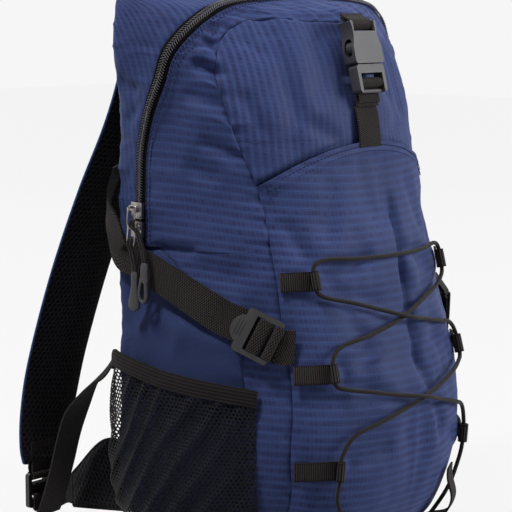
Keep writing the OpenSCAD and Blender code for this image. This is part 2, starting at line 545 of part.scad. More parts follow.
// ---------------------------------------------------------------- shock cord
// Heights of the tabs; the cord runs up or down through the ring at the end of each.
TAB_Z = [86, 154, 219];
tab_x = 75;
tab_ring_r = cord_d/2 + cord_gap;
pocket_off = seam_gap + cloth_t;
cord_off = pocket_off + web_gap + web_t + tab_ring_r;
function tab_ring_at(z) = skin(turn_x(tab_x, z), z, cord_off);
module cord_tab(z) {
    turn = turn_x(tab_x, z);
    seat(tab_ring_at(z), out_of(turn, z), surf(turn, z + 5) - surf(turn, z - 5))
        rotate([-90, 0, 0]) translate([0, 0, -tab_w/2]) difference() {
            cylinder(r = tab_ring_r + web_t, h = tab_w);
            translate([0, 0, -1]) cylinder(r = tab_ring_r, h = tab_w + 2);
        }
    sheet(function(u, v) let (h = z + (v - .5)*tab_w, x = mix(tab_x + 1.5, seam_x(h) - 1, u))
        [turn_x(x, h), h, pocket_off + web_gap + web_t, pocket_off + web_gap], 3, 1);
}
module cord_tabs() color(black) for (side = [0, 1], z = TAB_Z) mirror([side, 0, 0]) cord_tab(z);
CORD = [[-.2, -112.8, 16.5], [-10, -112.8, 16.5], [-25, -110.5, 18], [-43.5, -110, 25.5], [-64.5, -113, 43.5],
    [-77, -114, 62.5], [-78.5, -117, 77.5], [-78.5, -118, 93.5], [-68.5, -122.5, 110], [-47.5, -130, 117.5],
    [-24.5, -133.5, 123.5], [2, -134, 129], [28.5, -131, 135], [51.5, -125.5, 140], [69.5, -118, 143.5],
    [79, -113, 148], [78, -109.5, 163.5], [68.5, -110, 173.5], [45.5, -116, 178.5], [18.5, -119.5, 184],
    [-1, -122, 188], [-31.5, -113.5, 197], [-53.5, -107.5, 203.5], [-69.5, -100.5, 207.5], [-78.5, -95.5, 213],
    [-78.5, -92, 228.5], [-68.5, -94, 234.5], [-41, -102.5, 233.5], [0, -106.5, 232.5], [41, -103, 232.5],
    [68.5, -94, 233.5], [78.5, -92, 228.5], [78.5, -95.5, 213], [69.5, -100.5, 207.5], [53.5, -107.5, 203.5],
    [30.5, -113.5, 198.5], [8, -117, 191.5], [-18.5, -118.5, 184.5], [-45.5, -116, 178.5], [-68.5, -110, 173.5],
    [-78, -109.5, 163.5], [-79, -113, 148], [-69.5, -118, 143.5], [-51.5, -125.5, 140], [-28.5, -131, 135],
    [-2, -138.3, 130.5], [24.5, -133.5, 123.5], [47.5, -130, 117.5], [68.5, -122.5, 110], [78.5, -118, 93.5],
    [78.5, -117, 77.5], [77, -114, 62.5], [64.5, -113, 43.5], [43.5, -110, 25.5], [25, -110.5, 18],
    [10, -112.8, 16.5], [.2, -112.8, 16.5]];
module shock_cord() color(black) tube(CORD, cord_d/2, 8);
// Tube of radius r with k sides swept along points p
module tube(p, r, k) {
    n = len(p) - 1;
    along = [for (i = [0:n]) unit(p[min(i + 1, n)] - p[max(i - 1, 0)])];
    function frame(i, prev) = i > n ? [] : let (s = unit(prev - (prev*along[i])*along[i])) concat([s], frame(i + 1, s));
    side = frame(0, abs(along[0][2]) < .9 ? [0, 0, 1] : [1, 0, 0]);
    points = [for (i = [0:n]) for (j = [0:k - 1]) p[i] + r*(cos(360*j/k)*side[i] + sin(360*j/k)*cross(along[i], side[i]))];
    polyhedron(points, concat([[for (j = [0:k - 1]) j]], [[for (j = [k - 1:-1:0]) n*k + j]],
        [for (i = [0:n - 1]) for (j = [0:k - 1]) let (a = i*k + j, b = i*k + (j + 1)%k) each [[a, a + k, b + k],
        [a, b + k, b]]]));
}

lock_z = 24;
barrel_floor = 2.5;
barrel_wall = 2.2;
bore_z = barrel_l*.55;
bore_r = cord_d/2 + cord_gap;
button_travel = 4;
button_r = barrel_r - barrel_wall - plug_gap;
rib_t = .6;
barrel_at = skin(0, lock_z, pocket_off + cord_gap + barrel_r + rib_t);
module at_cord_lock() seat(barrel_at, out_of(0, lock_z), surf(0, lock_z + 4) - surf(0, lock_z - 4))
    rotate([-90, 0, 0]) translate([0, 0, -bore_z]) children();
module bore() rotate([0, 90, 0]) cylinder(r = bore_r, h = 3*barrel_r, center = true);
module cord_lock_barrel() color(grey) at_cord_lock() difference() {
    union() {
        cylinder(r = barrel_r, h = barrel_l);
        for (z = [2, barrel_l - 3]) translate([0, 0, z]) cylinder(r = barrel_r + rib_t, h = 1);
    }
    translate([0, 0, barrel_floor]) cylinder(r = barrel_r - barrel_wall, h = barrel_l);
    translate([0, 0, bore_z]) bore();
}
button_low_z = bore_z - bore_r - 1.6;
module cord_lock_button() color(black) at_cord_lock() difference() {
    translate([0, 0, button_low_z]) cylinder(r = button_r, h = barrel_l + button_travel + 1.5 - button_low_z);
    translate([0, 0, bore_z]) bore();
    translate([0, 0, bore_z + button_travel]) bore();
    translate([-barrel_r, -bore_r, bore_z]) cube([2*barrel_r, 2*bore_r, button_travel]);
}
spring_turns = 3;
module cord_lock_spring() color("silver") at_cord_lock() tube([for (i = [0:spring_turns*10]) let (a = 36*i)
    [3.6*cos(a), 3.6*sin(a), mix(barrel_floor + .45, button_low_z - .45, i/(spring_turns*10))]], .4, 6);

// ---------------------------------------------------------------- loops, straps and belt
gear_x = 52;
gear_w = 18;
module gear_loop() color(black) {
    GEAR = [[66, .8], [58, 3], [47, 11], [36, 12], [28, 5], [24, .8]];
    path = smooth([for (g = GEAR) skin(turn_x(gear_x, g[0]), g[0], pocket_off + web_gap + g[1])], 2);
    ribbon(path, [for (p = path) [1, .45, 0]], gear_w, web_t);
}

haul_z = 436;
haul_t = web_t*1.5;
module haul_loop() color(black) {
    y0 = back_y(haul_z) + web_gap + haul_t/2;
    path = smooth([[-44, y0, haul_z], [-32, y0 + .5, haul_z + 1], [-24, y0 + 6, haul_z + 3], [-16, y0 + haul_reach - 3,
        haul_z + 6], [0, y0 + haul_reach, haul_z + 7], [16, y0 + haul_reach - 3, haul_z + 6],
        [24, y0 + 6, haul_z + 3], [32, y0 + .5, haul_z + 1], [44, y0, haul_z]], 2);
    ribbon(path, [for (p = path) [0, 0, 1]], 20, haul_t);
}

// Shoulder strap from the back panel to its lower end: [x, distance behind the panel, z, share of the width]
STRAP = [[64, .3, 418, .9], [66, 3, 390, .95], [70, 6, 358, 1], [74, 15.5, 322, 1], [79, 34, 272, 1],
    [84, 56, 208, 1], [90, 75, 140, .98], [97, 81, 96, .92], [102, 82.5, 66, .8], [105, 82, 50, .66]];
function strap_mid(s) = [s[0], back_y(s[2]) + strap_t/2 + s[1], s[2]];
strap_end = strap_mid(STRAP[9]);
module shoulder_strap() {
    path = smooth([for (s = STRAP) strap_mid(s)], 2);
    widths = smooth([for (s = STRAP) [s[3], 0, 0]], 2);
    ribbon(path, [for (p = path) [1, 0, 0]], [for (s = widths) s[0]*strap_w], strap_t);
}
module right_shoulder_strap() color(black) shoulder_strap();
module left_shoulder_strap() color(black) mirror([1, 0, 0]) shoulder_strap();

anchor_ring_r = lock_bar_r + .4 + web_t;
strap_lock_at = strap_end + [1, -2, anchor_y - anchor_ring_r - 2.4];
// Webbing from the side seam of the pack to the ladder lock of the strap: [share of the way, bow]
BOW = [[.07, 3.5], [.2, 11], [.36, 13.5], [.52, 11], [.69, 6], [.86, 2], [1, 0]];
lower_from = skin(back_seam, 148, web_gap + mesh_t + web_t/2 - .4);
lower_to = strap_lock_at + [1, -5, -19];
module lower_webbing() {
    path = smooth(concat([lower_from], [for (b = BOW) mix(lower_from, lower_to, b[0]) + [0, b[1], b[1]/3]]), 2);
    ribbon(path, [for (i = [0:len(path) - 1]) i < 2 ? [.72, -.69, 0] : i < 4 ? [.9, -.4, 0] : [1, 0, 0]], web_w, web_t);
}
module right_lower_webbing() color(black) lower_webbing();
module left_lower_webbing() color(black) mirror([1, 0, 0]) lower_webbing();
module at_strap_lock() seat(strap_lock_at, [0, 1, 0], [0, 0, -1]) children();
module right_strap_lock() color(grey) at_strap_lock() ladder_lock();
module left_strap_lock() color(grey) mirror([1, 0, 0]) at_strap_lock() ladder_lock();
module right_strap_thread() color(black) at_strap_lock() lock_thread();
module left_strap_thread() color(black) mirror([1, 0, 0]) at_strap_lock() lock_thread();
module strap_anchor_webbing() color(black) for (side = [0, 1]) mirror([side, 0, 0]) at_strap_lock()
    bar_ring(anchor_y, lock_t/2, lock_bar_r);

wing_x = 84;
wing_end_y = 148;
// Depth of the back panel at a given x
function back_at_x(x, z) = mid_y(z) + (back_y(z) - mid_y(z))*pow(1 - pow(x/half_w(z), back_power), 1/back_power);
module hip_wing() {
    function at(u, v, x) = let (z = mix(mix(24, 14, u), curve(u, [[0, 72], [.5, 74], [1, 42]]), v))
        [x, mix(back_at_x(x, z) + seam_gap, wing_end_y, u), z];
    slab([for (i = [0:6]) for (j = [0:4]) at(i/6, j/4, wing_x + wing_t/2)],
        [for (i = [0:6]) for (j = [0:4]) at(i/6, j/4, wing_x - wing_t/2)], 6, 4);
}
module right_hip_wing() color(black) hip_wing();
module left_hip_wing() color(black) mirror([1, 0, 0]) hip_wing();

HIP = [[wing_x, wing_end_y + 2, 28, 0], [wing_x, 156, 27.9, 0], [wing_x, 164, 25.2, 0], [83.5, 173, 20, 0],
    [80.5, 184, 15.6, 0], [74.5, 195, 14, 0], [66, 201.5, 13.6, .08], [58, 203, 11.4, .38], [50, 203, 6.2, .72],
    [45.5, 203, 3.4, .95], [43, 203, 2.8, 1]];
function hip_path(x_end) = smooth(concat([for (h = HIP) [h[0], h[1], h[2]]], [[x_end, 203, 2.4]]), 2);
function hip_turn() = smooth(concat([for (h = HIP) [h[3], 0, 0]], [[1, 0, 0]]), 2);
module hip_run(x_end) {
    path = hip_path(x_end);
    ribbon(path, [for (t = hip_turn()) [.2*t[0]*(1 - t[0]), t[0], 1.02 - t[0]]], web_w, web_t);
}
module at_hip_buckle() seat(hip_buckle_at, [0, 0, 1], hip_buckle_up) children();
module right_hip_webbing() color(black) hip_run(hip_buckle_at[0] - ladder_run + 2.4);
module hip_plug_webbing() color(black) at_hip_buckle() plug_webbing();
// Webbing of the left wing, turned round the bar of the socket
bar_turn_r = bar_r + .4 + web_t/2;
function bar_turn(a) = [socket_bar_y - hip_buckle_at[0] - bar_turn_r*sin(a), 203,
    hip_buckle_at[2] + mid_z - bar_turn_r*cos(a)];
module left_hip_webbing() color(black) mirror([1, 0, 0]) {
    path = concat(smooth([for (h = HIP) [h[0], h[1], h[2]]], 2), [[socket_bar_y - hip_buckle_at[0] + 9, 203, 2.5]],
        [for (a = [-24:24:240]) bar_turn(a)]);
    turn = smooth([for (h = HIP) [h[3], 0, 0]], 2);
    ribbon(path, [for (i = [0:len(path) - 1]) i < len(turn) ? let (t = turn[i][0]) [.2*t*(1 - t), t, 1.02 - t]
        : [0, 1, 0]], web_w, web_t);
}
module hip_buckle_socket() color(grey) at_hip_buckle() buckle_socket();
module hip_buckle_plug() color(grey) at_hip_buckle() buckle_plug();
module hip_buckle_prongs() color(grey) at_hip_buckle() buckle_prongs();

base_panel();
back_panel();
back_pads();
rear_gusset();
left_side_panel();
right_side_panel();
left_side_gusset();
right_side_gusset();
front_lower_panel();
front_pocket();
flap_panel();
flap_gusset();
zip_rear_tape();
zip_flap_tape();
zip_lower_tapes();
upper_slider();
upper_pull();
lower_slider();
lower_pull();
left_mesh_pocket();
right_mesh_pocket();
pocket_elastics();
top_strap();
top_buckle_socket();
top_buckle_plug();
top_buckle_prongs();
top_buckle_webbing();
top_webbing_run();
left_compression_webbing();
right_compression_webbing();
side_anchor_webbing();
left_compression_lock();
right_compression_lock();
left_lock_webbing();
right_lock_webbing();
cord_tabs();
shock_cord();
cord_lock_barrel();
cord_lock_button();
cord_lock_spring();
gear_loop();
haul_loop();
left_shoulder_strap();
right_shoulder_strap();
left_lower_webbing();
right_lower_webbing();
strap_anchor_webbing();
left_strap_lock();
right_strap_lock();
left_strap_thread();
right_strap_thread();
left_hip_wing();
right_hip_wing();
left_hip_webbing();
right_hip_webbing();
hip_plug_webbing();
hip_buckle_socket();
hip_buckle_plug();
hip_buckle_prongs();
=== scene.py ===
"""Cloth, webbing, mesh and hardware of a daypack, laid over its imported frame."""

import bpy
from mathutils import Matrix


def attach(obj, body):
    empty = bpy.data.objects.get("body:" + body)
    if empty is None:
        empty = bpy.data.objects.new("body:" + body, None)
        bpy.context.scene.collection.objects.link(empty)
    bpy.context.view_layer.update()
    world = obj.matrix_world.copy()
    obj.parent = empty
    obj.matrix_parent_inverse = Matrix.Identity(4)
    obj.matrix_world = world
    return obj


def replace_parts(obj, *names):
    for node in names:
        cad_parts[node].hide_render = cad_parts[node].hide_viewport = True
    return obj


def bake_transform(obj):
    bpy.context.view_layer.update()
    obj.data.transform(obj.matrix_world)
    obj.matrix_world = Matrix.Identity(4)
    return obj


bl_info = {
    "name": "Daypack",
    "version": (1, 0, 0),
    "blender": (4, 5, 0),
    "location": "View3D > Sidebar > Daypack",
    "description": "Makes the cloth, webbing, mesh and hardware of a daypack over its frame",
    "category": "Object",
}

import bmesh
import bpy
import numpy as np
from mathutils import Vector

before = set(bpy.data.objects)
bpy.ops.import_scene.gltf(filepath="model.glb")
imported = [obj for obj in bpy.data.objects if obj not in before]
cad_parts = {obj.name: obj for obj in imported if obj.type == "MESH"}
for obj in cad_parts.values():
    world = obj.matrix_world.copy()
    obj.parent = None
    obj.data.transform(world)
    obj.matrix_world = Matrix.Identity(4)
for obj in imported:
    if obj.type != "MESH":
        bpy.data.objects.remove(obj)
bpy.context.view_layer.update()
MM = 0.001
SIDES = ((-1, "left"), (1, "right"))

# ---- sizes of the frame, in millimetres
PACK_H, PACK_W, PACK_D = 476.0, 276.0, 208.0
CLOTH_T, SEAM_GAP, CROWN_Z = 2.4, 0.5, 378.0
FOLD_Z, JOIN_Z, HEM_Z, HEM_DROP = 321.0, 364.0, 315.0, 28.0
FRONT_HALF_W = 98.0
WEB_W, WEB_T, WEB_GAP, TAB_W = 25.0, 1.6, 0.5, 14.0
POCKET_OFF = SEAM_GAP + CLOTH_T
BACK_SEAM, TOP_Z = 133.0, 474.5
SHELL_LOW_Z, Z_FLOOR = 240.5, 2.9
# Profiles of the body: share of its height, and share of its width, depth or half front. SEAM_TOP is the front
# seam across under the hood, and FRONT_POWER and FRONT_TAPER give the roundness and the narrowing of the front.
WIDTH = [[0, .783], [.095, .92], [.23, .95], [.46, .92], [.67, .95], [.84, 1], [1, 1]]
FRONT = [[0, -.404], [.095, -.567], [.22, -.625], [.42, -.524], [.61, -.413], [.735, -.365], [.83, -.298],
         [.857, -.26], [.874, -.202], [.884, -.096], [.897, .01], [.924, .106], [.958, .192], [1, .28]]
MIDDLE = [[0, 0], [.42, .024], [.735, .106], [.882, .144], [.945, .212], [1, .29]]
BACK = [[0, .298], [.095, .356], [.25, .375], [.55, .356], [.735, .322], [.882, .312], [1, .308]]
FRONT_POWER = [[0, 2.4], [.63, 2.3], [.81, 2.05], [.861, 1.75], [1, 1.8]]
FRONT_TAPER = [[0, .06], [.525, .08], [.714, .1], [.84, .3], [1, .3]]
ZIP = [[.525, .149], [.6, .139], [.653, .125], [.714, .08], [.76, .03], [.8, 0], [.828, -.03], [.855, -.055],
       [.9, -.08]]
SEAM = [[0, .98], [.115, 1], [.2, 1.03], [.315, 1], [.42, .98], [.5, .97], [.61, 1], [.672, 1.08], [.727, 1.12],
        [.784, 1.12], [.82, 1.05]]
SEAM_TOP = [[0, .851], [.5, .855], [.76, .854], [.93, .842], [1.05, .82]]
CORNER_X, CORNER_Z, CORNER_SHARE = FRONT_HALF_W*1.05, PACK_H*.82, .42
# Shoulder strap: x, distance from the back, z and share of its width; compression strap: depth and height
STRAP = [[64, .3, 418, .9], [66, 3, 390, .95], [70, 6, 358, 1], [74, 15.5, 322, 1], [79, 34, 272, 1],
         [84, 56, 208, 1], [90, 75, 140, .98], [97, 81, 96, .92], [102, 82.5, 66, .8], [105, 82, 50, .66]]
STRAP_W, STRAP_T = 64.0, 10.0
COMPRESSION = [[-92, 165], [-70, 180], [-53, 189], [-8, 212], [30, 227], [58, 238]]
SIDE_TOP, UPPER_LOW_Z, HEM_ROWS = 239.9, 280, (3.0, 7.0)    # hem rows: how far the stitches lie below its edge
BASE_MID, SLIDER_Z, WING_X, BACK_PAD = np.array([0, 15, 0]), (267.0, 253.0), 84, ((143, 176), (96, 330))
BAR_R = 3.2    # turn of webbing round a bar


# ---- curves and the surface of the body
def curve(x, table):
    """Smooth curve through the rows of a table: on each stretch a cubic whose slopes at the rows are the
    neighbouring straight slopes weighed by the other stretch's length."""
    t = np.asarray(table, float)
    a, b = t[:, 0], t[:, 1]
    h = np.diff(a)
    s = np.diff(b)/h
    m = np.concatenate([[s[0]], (s[:-1]*h[1:] + s[1:]*h[:-1])/(h[:-1] + h[1:]), [s[-1]]])
    x = np.clip(np.asarray(x, float), a[0], a[-1])
    i = np.clip(np.searchsorted(a, x, side="right") - 1, 0, len(a) - 2)
    w = (x - a[i])/h[i]
    return ((2*w**3 - 3*w**2 + 1)*b[i] + (w**3 - 2*w**2 + w)*h[i]*m[i]
            + (3*w**2 - 2*w**3)*b[i + 1] + (w**3 - w**2)*h[i]*m[i + 1])


def mix(a, b, t):
    """Way from a to b at the share t."""
    return a + (b - a)*t


def step(a, b, x):
    """0 before a, 1 after b, and 3t^2 - 2t^3 between them."""
    t = np.clip((np.asarray(x, float) - a)/(b - a), 0, 1)
    return t*t*(3 - 2*t)


def pairs(a, b):
    """Grid of pairs from two arrays that are stretched to the same shape."""
    return np.stack(np.broadcast_arrays(a, b), -1)


def lengths(p, axis=0):
    """Length along a path, or along the rows or columns of a grid, at each of its points."""
    return np.cumsum(np.linalg.norm(np.diff(p, axis=axis, prepend=np.take(p, [0], axis)), axis=-1), axis)


def ways(p):
    """Lengths from the first row and from the first column of a grid of points, along the cloth."""
    return lengths(p), lengths(p, 1)


def unit(v):
    """Vectors brought to length 1."""
    return v/np.maximum(np.linalg.norm(v, axis=-1, keepdims=True), 1e-12)


def level(z):
    """One number as an array of one."""
    return np.array([float(z)])


def half_w(z):
    """Half the width at a height: its profile, closed over the crown as (1 - t^2.5)^0.4."""
    t = np.clip((z - CROWN_Z)/(PACK_H - CROWN_Z), 0, 1)
    return PACK_W/2*curve(z/PACK_H, WIDTH)*(1 - t**2.5)**.4


def profile(scale, table):
    """Maker of a measure that follows the height as a smooth curve of shares."""
    return lambda z: scale*curve(z/PACK_H, table)


front_y, mid_y, back_y, zip_y = (profile(PACK_D, t) for t in (FRONT, MIDDLE, BACK, ZIP))
seam_x = profile(FRONT_HALF_W, SEAM)


def surf(turn, z):
    """Body surface: each level is a rounded box |u|^n + |v|^n = 1, with its own powers in front and behind,
    whose front half narrows by the taper times v squared. Turn 0 is the front, 90 the right, 180 the back."""
    turn, z = np.broadcast_arrays(np.asarray(turn, float), np.asarray(z, float))
    s, c = np.sin(np.radians(turn)), np.cos(np.radians(turn))
    front = c > 0
    n = np.where(front, curve(z/PACK_H, FRONT_POWER), 5.0)
    r = (np.abs(s)**n + np.abs(c)**n)**(-1/n)
    u, v = r*s, r*c
    k = np.where(front, curve(z/PACK_H, FRONT_TAPER), 0)
    m = mid_y(z)
    y = np.where(front, m - (m - front_y(z))*v, m - (back_y(z) - m)*v)
    return np.stack([half_w(z)*u*(1 - k*v*v), y, z], -1)


def out_of(turn, z):
    """Unit normal of the body: the cross product of the steps round it and up it."""
    up = surf(turn, np.minimum(z + 1, PACK_H)) - surf(turn, z - 1)
    return unit(np.cross(surf(turn + 1, z) - surf(turn - 1, z), up))


def skin(turn, z, d=0.0):
    """Point d outside the body surface."""
    return surf(turn, z) + np.asarray(d, float)[..., None]*out_of(np.asarray(turn, float), np.asarray(z, float))


def turn_y(y, z):
    """Turn at which a level reaches a depth y, on the right side."""
    z = np.asarray(z, float)
    m = mid_y(z)
    front = y < m
    n = np.where(front, curve(z/PACK_H, FRONT_POWER), 5.0)
    v = np.minimum(1, (y - m)/np.where(front, front_y(z) - m, back_y(z) - m))
    u = (1 - np.abs(v)**n)**(1/n)
    a = np.degrees(np.arctan2(u, v))
    return np.where(front, a, 180 - a)


def turn_x(x, z):
    """Turn at which the front half of a level reaches x, by halving. Left of the middle it is negative."""
    x, z = np.broadcast_arrays(np.asarray(x, float), np.asarray(z, float))
    lo, hi = np.zeros(x.shape), np.full(x.shape, 89.9)
    for _ in range(22):
        m = (lo + hi)/2
        less = surf(m, z)[..., 0] < np.abs(x)
        lo, hi = np.where(less, m, lo), np.where(less, hi, m)
    return np.sign(x)*lo


def zip_top():
    """Height at which the zip's line meets the front of the body, by halving."""
    lo, hi = .86*PACK_H, .92*PACK_H
    for _ in range(17):
        m = (lo + hi)/2
        lo, hi = (m, hi) if front_y(m) < zip_y(m) else (lo, m)
    return (lo + hi)/2


ZIP_TOP_Z = zip_top()


def zip_line(w):
    """Zip over the arch: w runs from -1 at the lower left to 1 at the lower right, and the height rises
    from the join to the top as 1 - (1 - s)^2."""
    s = 1 - np.abs(w)
    z = mix(JOIN_Z, ZIP_TOP_Z, 1 - (1 - s)**2)
    return np.sign(w)*np.where(s > .9999, 0, turn_y(zip_y(z), z)), z


def seam_line(w):
    """Front seam over the arch: up the side to its corner, then across under the hood."""
    s = 1 - np.abs(w)
    za = mix(FOLD_Z, CORNER_Z, np.minimum(s/CORNER_SHARE, 1))
    x = mix(CORNER_X, 0, np.clip((s - CORNER_SHARE)/(1 - CORNER_SHARE), 0, 1))
    zb = PACK_H*curve(np.abs(x)/FRONT_HALF_W, SEAM_TOP)
    side = s < CORNER_SHARE
    z = np.where(side, za, zb)
    turn = turn_x(np.where(side, seam_x(za), np.maximum(x, 1e-6)), z)
    return np.sign(w)*turn, z


def back_line(w):
    """Seam of the back panel over the arch, with its corners rounded by powers of the share."""
    s = 1 - np.abs(w)
    return np.sign(w)*BACK_SEAM*(1 - s**9), mix(JOIN_Z, TOP_Z, 1 - (1 - s)**2.2)


def beside(turn, z, d):
    """Line d sideways from another on the body. Positive d is to the right of somebody who walks the line with
    the outside overhead. The point is found on the surface in four steps of its own tangents."""
    p = surf(turn, z)
    aim = p + np.asarray(d, float)[..., None]*np.cross(unit(np.gradient(p, axis=0)), out_of(turn, z))
    for _ in range(4):
        sa = surf(turn + .2, z) - surf(turn - .2, z)
        sz = surf(turn, z + .5) - surf(turn, z - .5)
        b = aim - surf(turn, z)
        m11, m12, m22 = (sa*sa).sum(-1), (sa*sz).sum(-1), (sz*sz).sum(-1)
        r1, r2 = (b*sa).sum(-1), (b*sz).sum(-1)
        det = np.maximum(m11*m22 - m12*m12, 1e-9)
        turn, z = turn + np.clip(.4*(r1*m22 - r2*m12)/det, -6, 6), z + np.clip((r2*m11 - r1*m12)/det, -6, 6)
    return turn, z


# Lengths along the body, for cloth patterns: round it at each height, and up it at each turn
TURNS, LEVELS = np.arange(0, 181, 2.0), np.arange(0, 477, 4.0)
ROUND, UP = ways(surf(TURNS[:, None], LEVELS[None, :]))


def look_up(table, turn, z):
    """Value of a table of turns by levels, straight between its entries."""
    i, j = np.clip(np.abs(turn)/2, 0, len(TURNS) - 1.001), np.clip(z/4, 0, len(LEVELS) - 1.001)
    a, b = i.astype(int), j.astype(int)
    s, t = i - a, j - b
    low, high = (table[a, k]*(1 - s) + table[a + 1, k]*s for k in (b, b + 1))
    return low*(1 - t) + high*t


def cloth_uv(turn, z):
    """Cloth coordinates in millimetres: the way round from the front centre, and the way up."""
    return pairs(np.sign(turn)*look_up(ROUND, turn, z), look_up(UP, turn, z))


# ---- uneven cloth
def noise(p, size, seed):
    """Smooth noise between -1 and 1: a fixed hash of whole points, smoothly joined in three directions."""
    q = np.asarray(p, float)/size + 100
    i = np.floor(q).astype(np.int64)
    f = q - i
    f = f*f*(3 - 2*f)
    total = 0
    for k in range(8):
        c = np.array([k & 1, k >> 1 & 1, k >> 2 & 1])
        n = i + c
        h = (n[..., 0]*73856093 ^ n[..., 1]*19349663 ^ n[..., 2]*83492791 ^ seed*7919) & 0x7fffffff
        h = (h ^ (h >> 13))*1274126177 & 0x7fffffff
        h = (h ^ (h >> 16)) & 0xffff
        total = total + (h/32767.5 - 1)*np.prod(np.where(c == 1, f, 1 - f), -1)
    return total


def creases(p, size, seed):
    """Soft creases: ridged noise, high along the lines where a stretched smooth noise crosses zero."""
    return np.clip(1 - np.abs(noise(p, size, seed))*4, 0, 1)**2


def ridge(p, a, b, width, height):
    """A fold along the stretch from a to b: a rounded ridge across it that dies out towards both ends."""
    a, b = np.asarray(a, float), np.asarray(b, float)
    d = b - a
    t = ((p - a)@d)/(d@d)
    away = np.linalg.norm(p - a - np.clip(t, 0, 1)[..., None]*d, axis=-1)
    ends = step(-.25, .2, t)*(1 - step(.8, 1.25, t))
    side = np.exp(-(away/width)**2)
    return height*side*ends


# ---- meshes
def steps(n, edge=0.0, rows=2):
    """n + 1 even shares from 0 to 1, with extra rows inside both edges, the first of them at edge."""
    t = np.linspace(0, 1, n + 1)
    if not edge:
        return t
    e = edge*np.linspace(0, 1, rows + 1)[1:]**1.3
    inner = t[(t > e[-1]*1.3) & (t < 1 - e[-1]*1.3)]
    return np.concatenate([[0], e, inner, 1 - e[::-1], [1]])


def quads(n, m, at=0, flip=False, closed=False):
    """Faces of a grid of n by m cells whose points are stored row by row from index at."""
    i, j = crossed(np.arange(n), np.arange(m))
    w = m if closed else m + 1
    k = (j + 1) % w if closed else j + 1
    f = np.stack([i*w + j, i*w + k, (i + 1)*w + k, (i + 1)*w + j], -1).reshape(-1, 4) + at
    return f[:, ::-1] if flip else f


def linked(name, data):
    """New object in the scene."""
    thing = bpy.data.objects.new(name, data)
    bpy.context.scene.collection.objects.link(thing)
    return thing


def make(name, points, faces, material, uv=None, body="pack", slot=None, smooth=40.0):
    """Mesh object from points in millimetres, with its cloth coordinates in decimetres on a UV map, riding on
    a body. The faces are one or more arrays of point numbers."""
    faces = faces if isinstance(faces, list) else [faces]
    mesh = bpy.data.meshes.new(name)
    points = (np.asarray(points, float).reshape(-1, 3)*MM).tolist()
    mesh.from_pydata(points, [], [f for a in faces for f in a.tolist()])
    if uv is not None:
        loops = np.empty(len(mesh.loops), dtype=np.int32)
        mesh.loops.foreach_get("vertex_index", loops)
        uv = np.asarray(uv, float).reshape(-1, 2)[loops]/100
        mesh.uv_layers.new(name="cloth").data.foreach_set("uv", uv.ravel())
    mesh.polygons.foreach_set("use_smooth", np.ones(len(mesh.polygons), dtype=bool))
    if smooth:
        mesh.set_sharp_from_angle(angle=np.radians(smooth))
    mesh.update()
    piece = linked(name, mesh)
    mesh.materials.append(material)
    if body:
        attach(piece, body)
    return piece


def slab_faces(n, m):
    """Faces of a closed slab: an outer grid, an inner grid and the four walls between their edges."""
    c = (n + 1)*(m + 1)
    row, col = np.arange(m), np.arange(n)*(m + 1)
    a = np.stack([row + 1, row, row + c, row + c + 1], -1)
    k = n*(m + 1)
    b = np.stack([k + row, k + row + 1, k + row + 1 + c, k + row + c], -1)
    d = np.stack([col, col + m + 1, col + m + 1 + c, col + c], -1)
    e = np.stack([col + 2*m + 1, col + m, col + m + c, col + 2*m + 1 + c], -1)
    return [quads(n, m, 0, True), quads(n, m, c), a[:, ::-1], b[:, ::-1], d[:, ::-1], e[:, ::-1]]


def slab(name, outer, inner, material, uv=None, **rest):
    """Closed piece between two grids of points. Their first direction crossed with the second points outwards."""
    n, m = outer.shape[0] - 1, outer.shape[1] - 1
    points = np.concatenate([outer.reshape(-1, 3), inner.reshape(-1, 3)])
    both = None if uv is None else np.concatenate([uv.reshape(-1, 2)]*2)
    return make(name, points, slab_faces(n, m), material, both, **rest)


def edge_distance(p, sides=(1, 1, 1, 1)):
    """Way along the cloth from each point of a grid to its nearest edge: first and last row, first and last
    column, each counted where its entry in sides is 1."""
    a, b = ways(p)
    rows = [a, a[-1:] - a, b, b[:, -1:] - b]
    return np.min([np.where(s, r, 1e3) for r, s in zip(rows, sides)], axis=0)


def settle(p):
    """How far the cloth lies from the plain body: shallow hollows everywhere, at three sizes."""
    return 1.9*noise(p, 58, 3) + 1.7*noise(p*[1, 1, .7], 25, 5) + .75*noise(p*[1, 1, .6], 12, 6) - 1.6


# Folds on one side only, with the signs of their turns: a long hollow down the right of the front pocket
LONE_FOLDS = [[8.5, 272, 7, 212, 4.5, -5], [7, 222, 4.6, 150, 5, -5.5], [4.6, 158, 15.7, 95, 6, -4.5],
              [14, 255, 13, 170, 9, 1.5], [2, 250, 0, 200, 8, 1.2], [-14, 250, -20, 215, 8, -1.6],
              [-27, 205, -20, 170, 7, -1.5]]
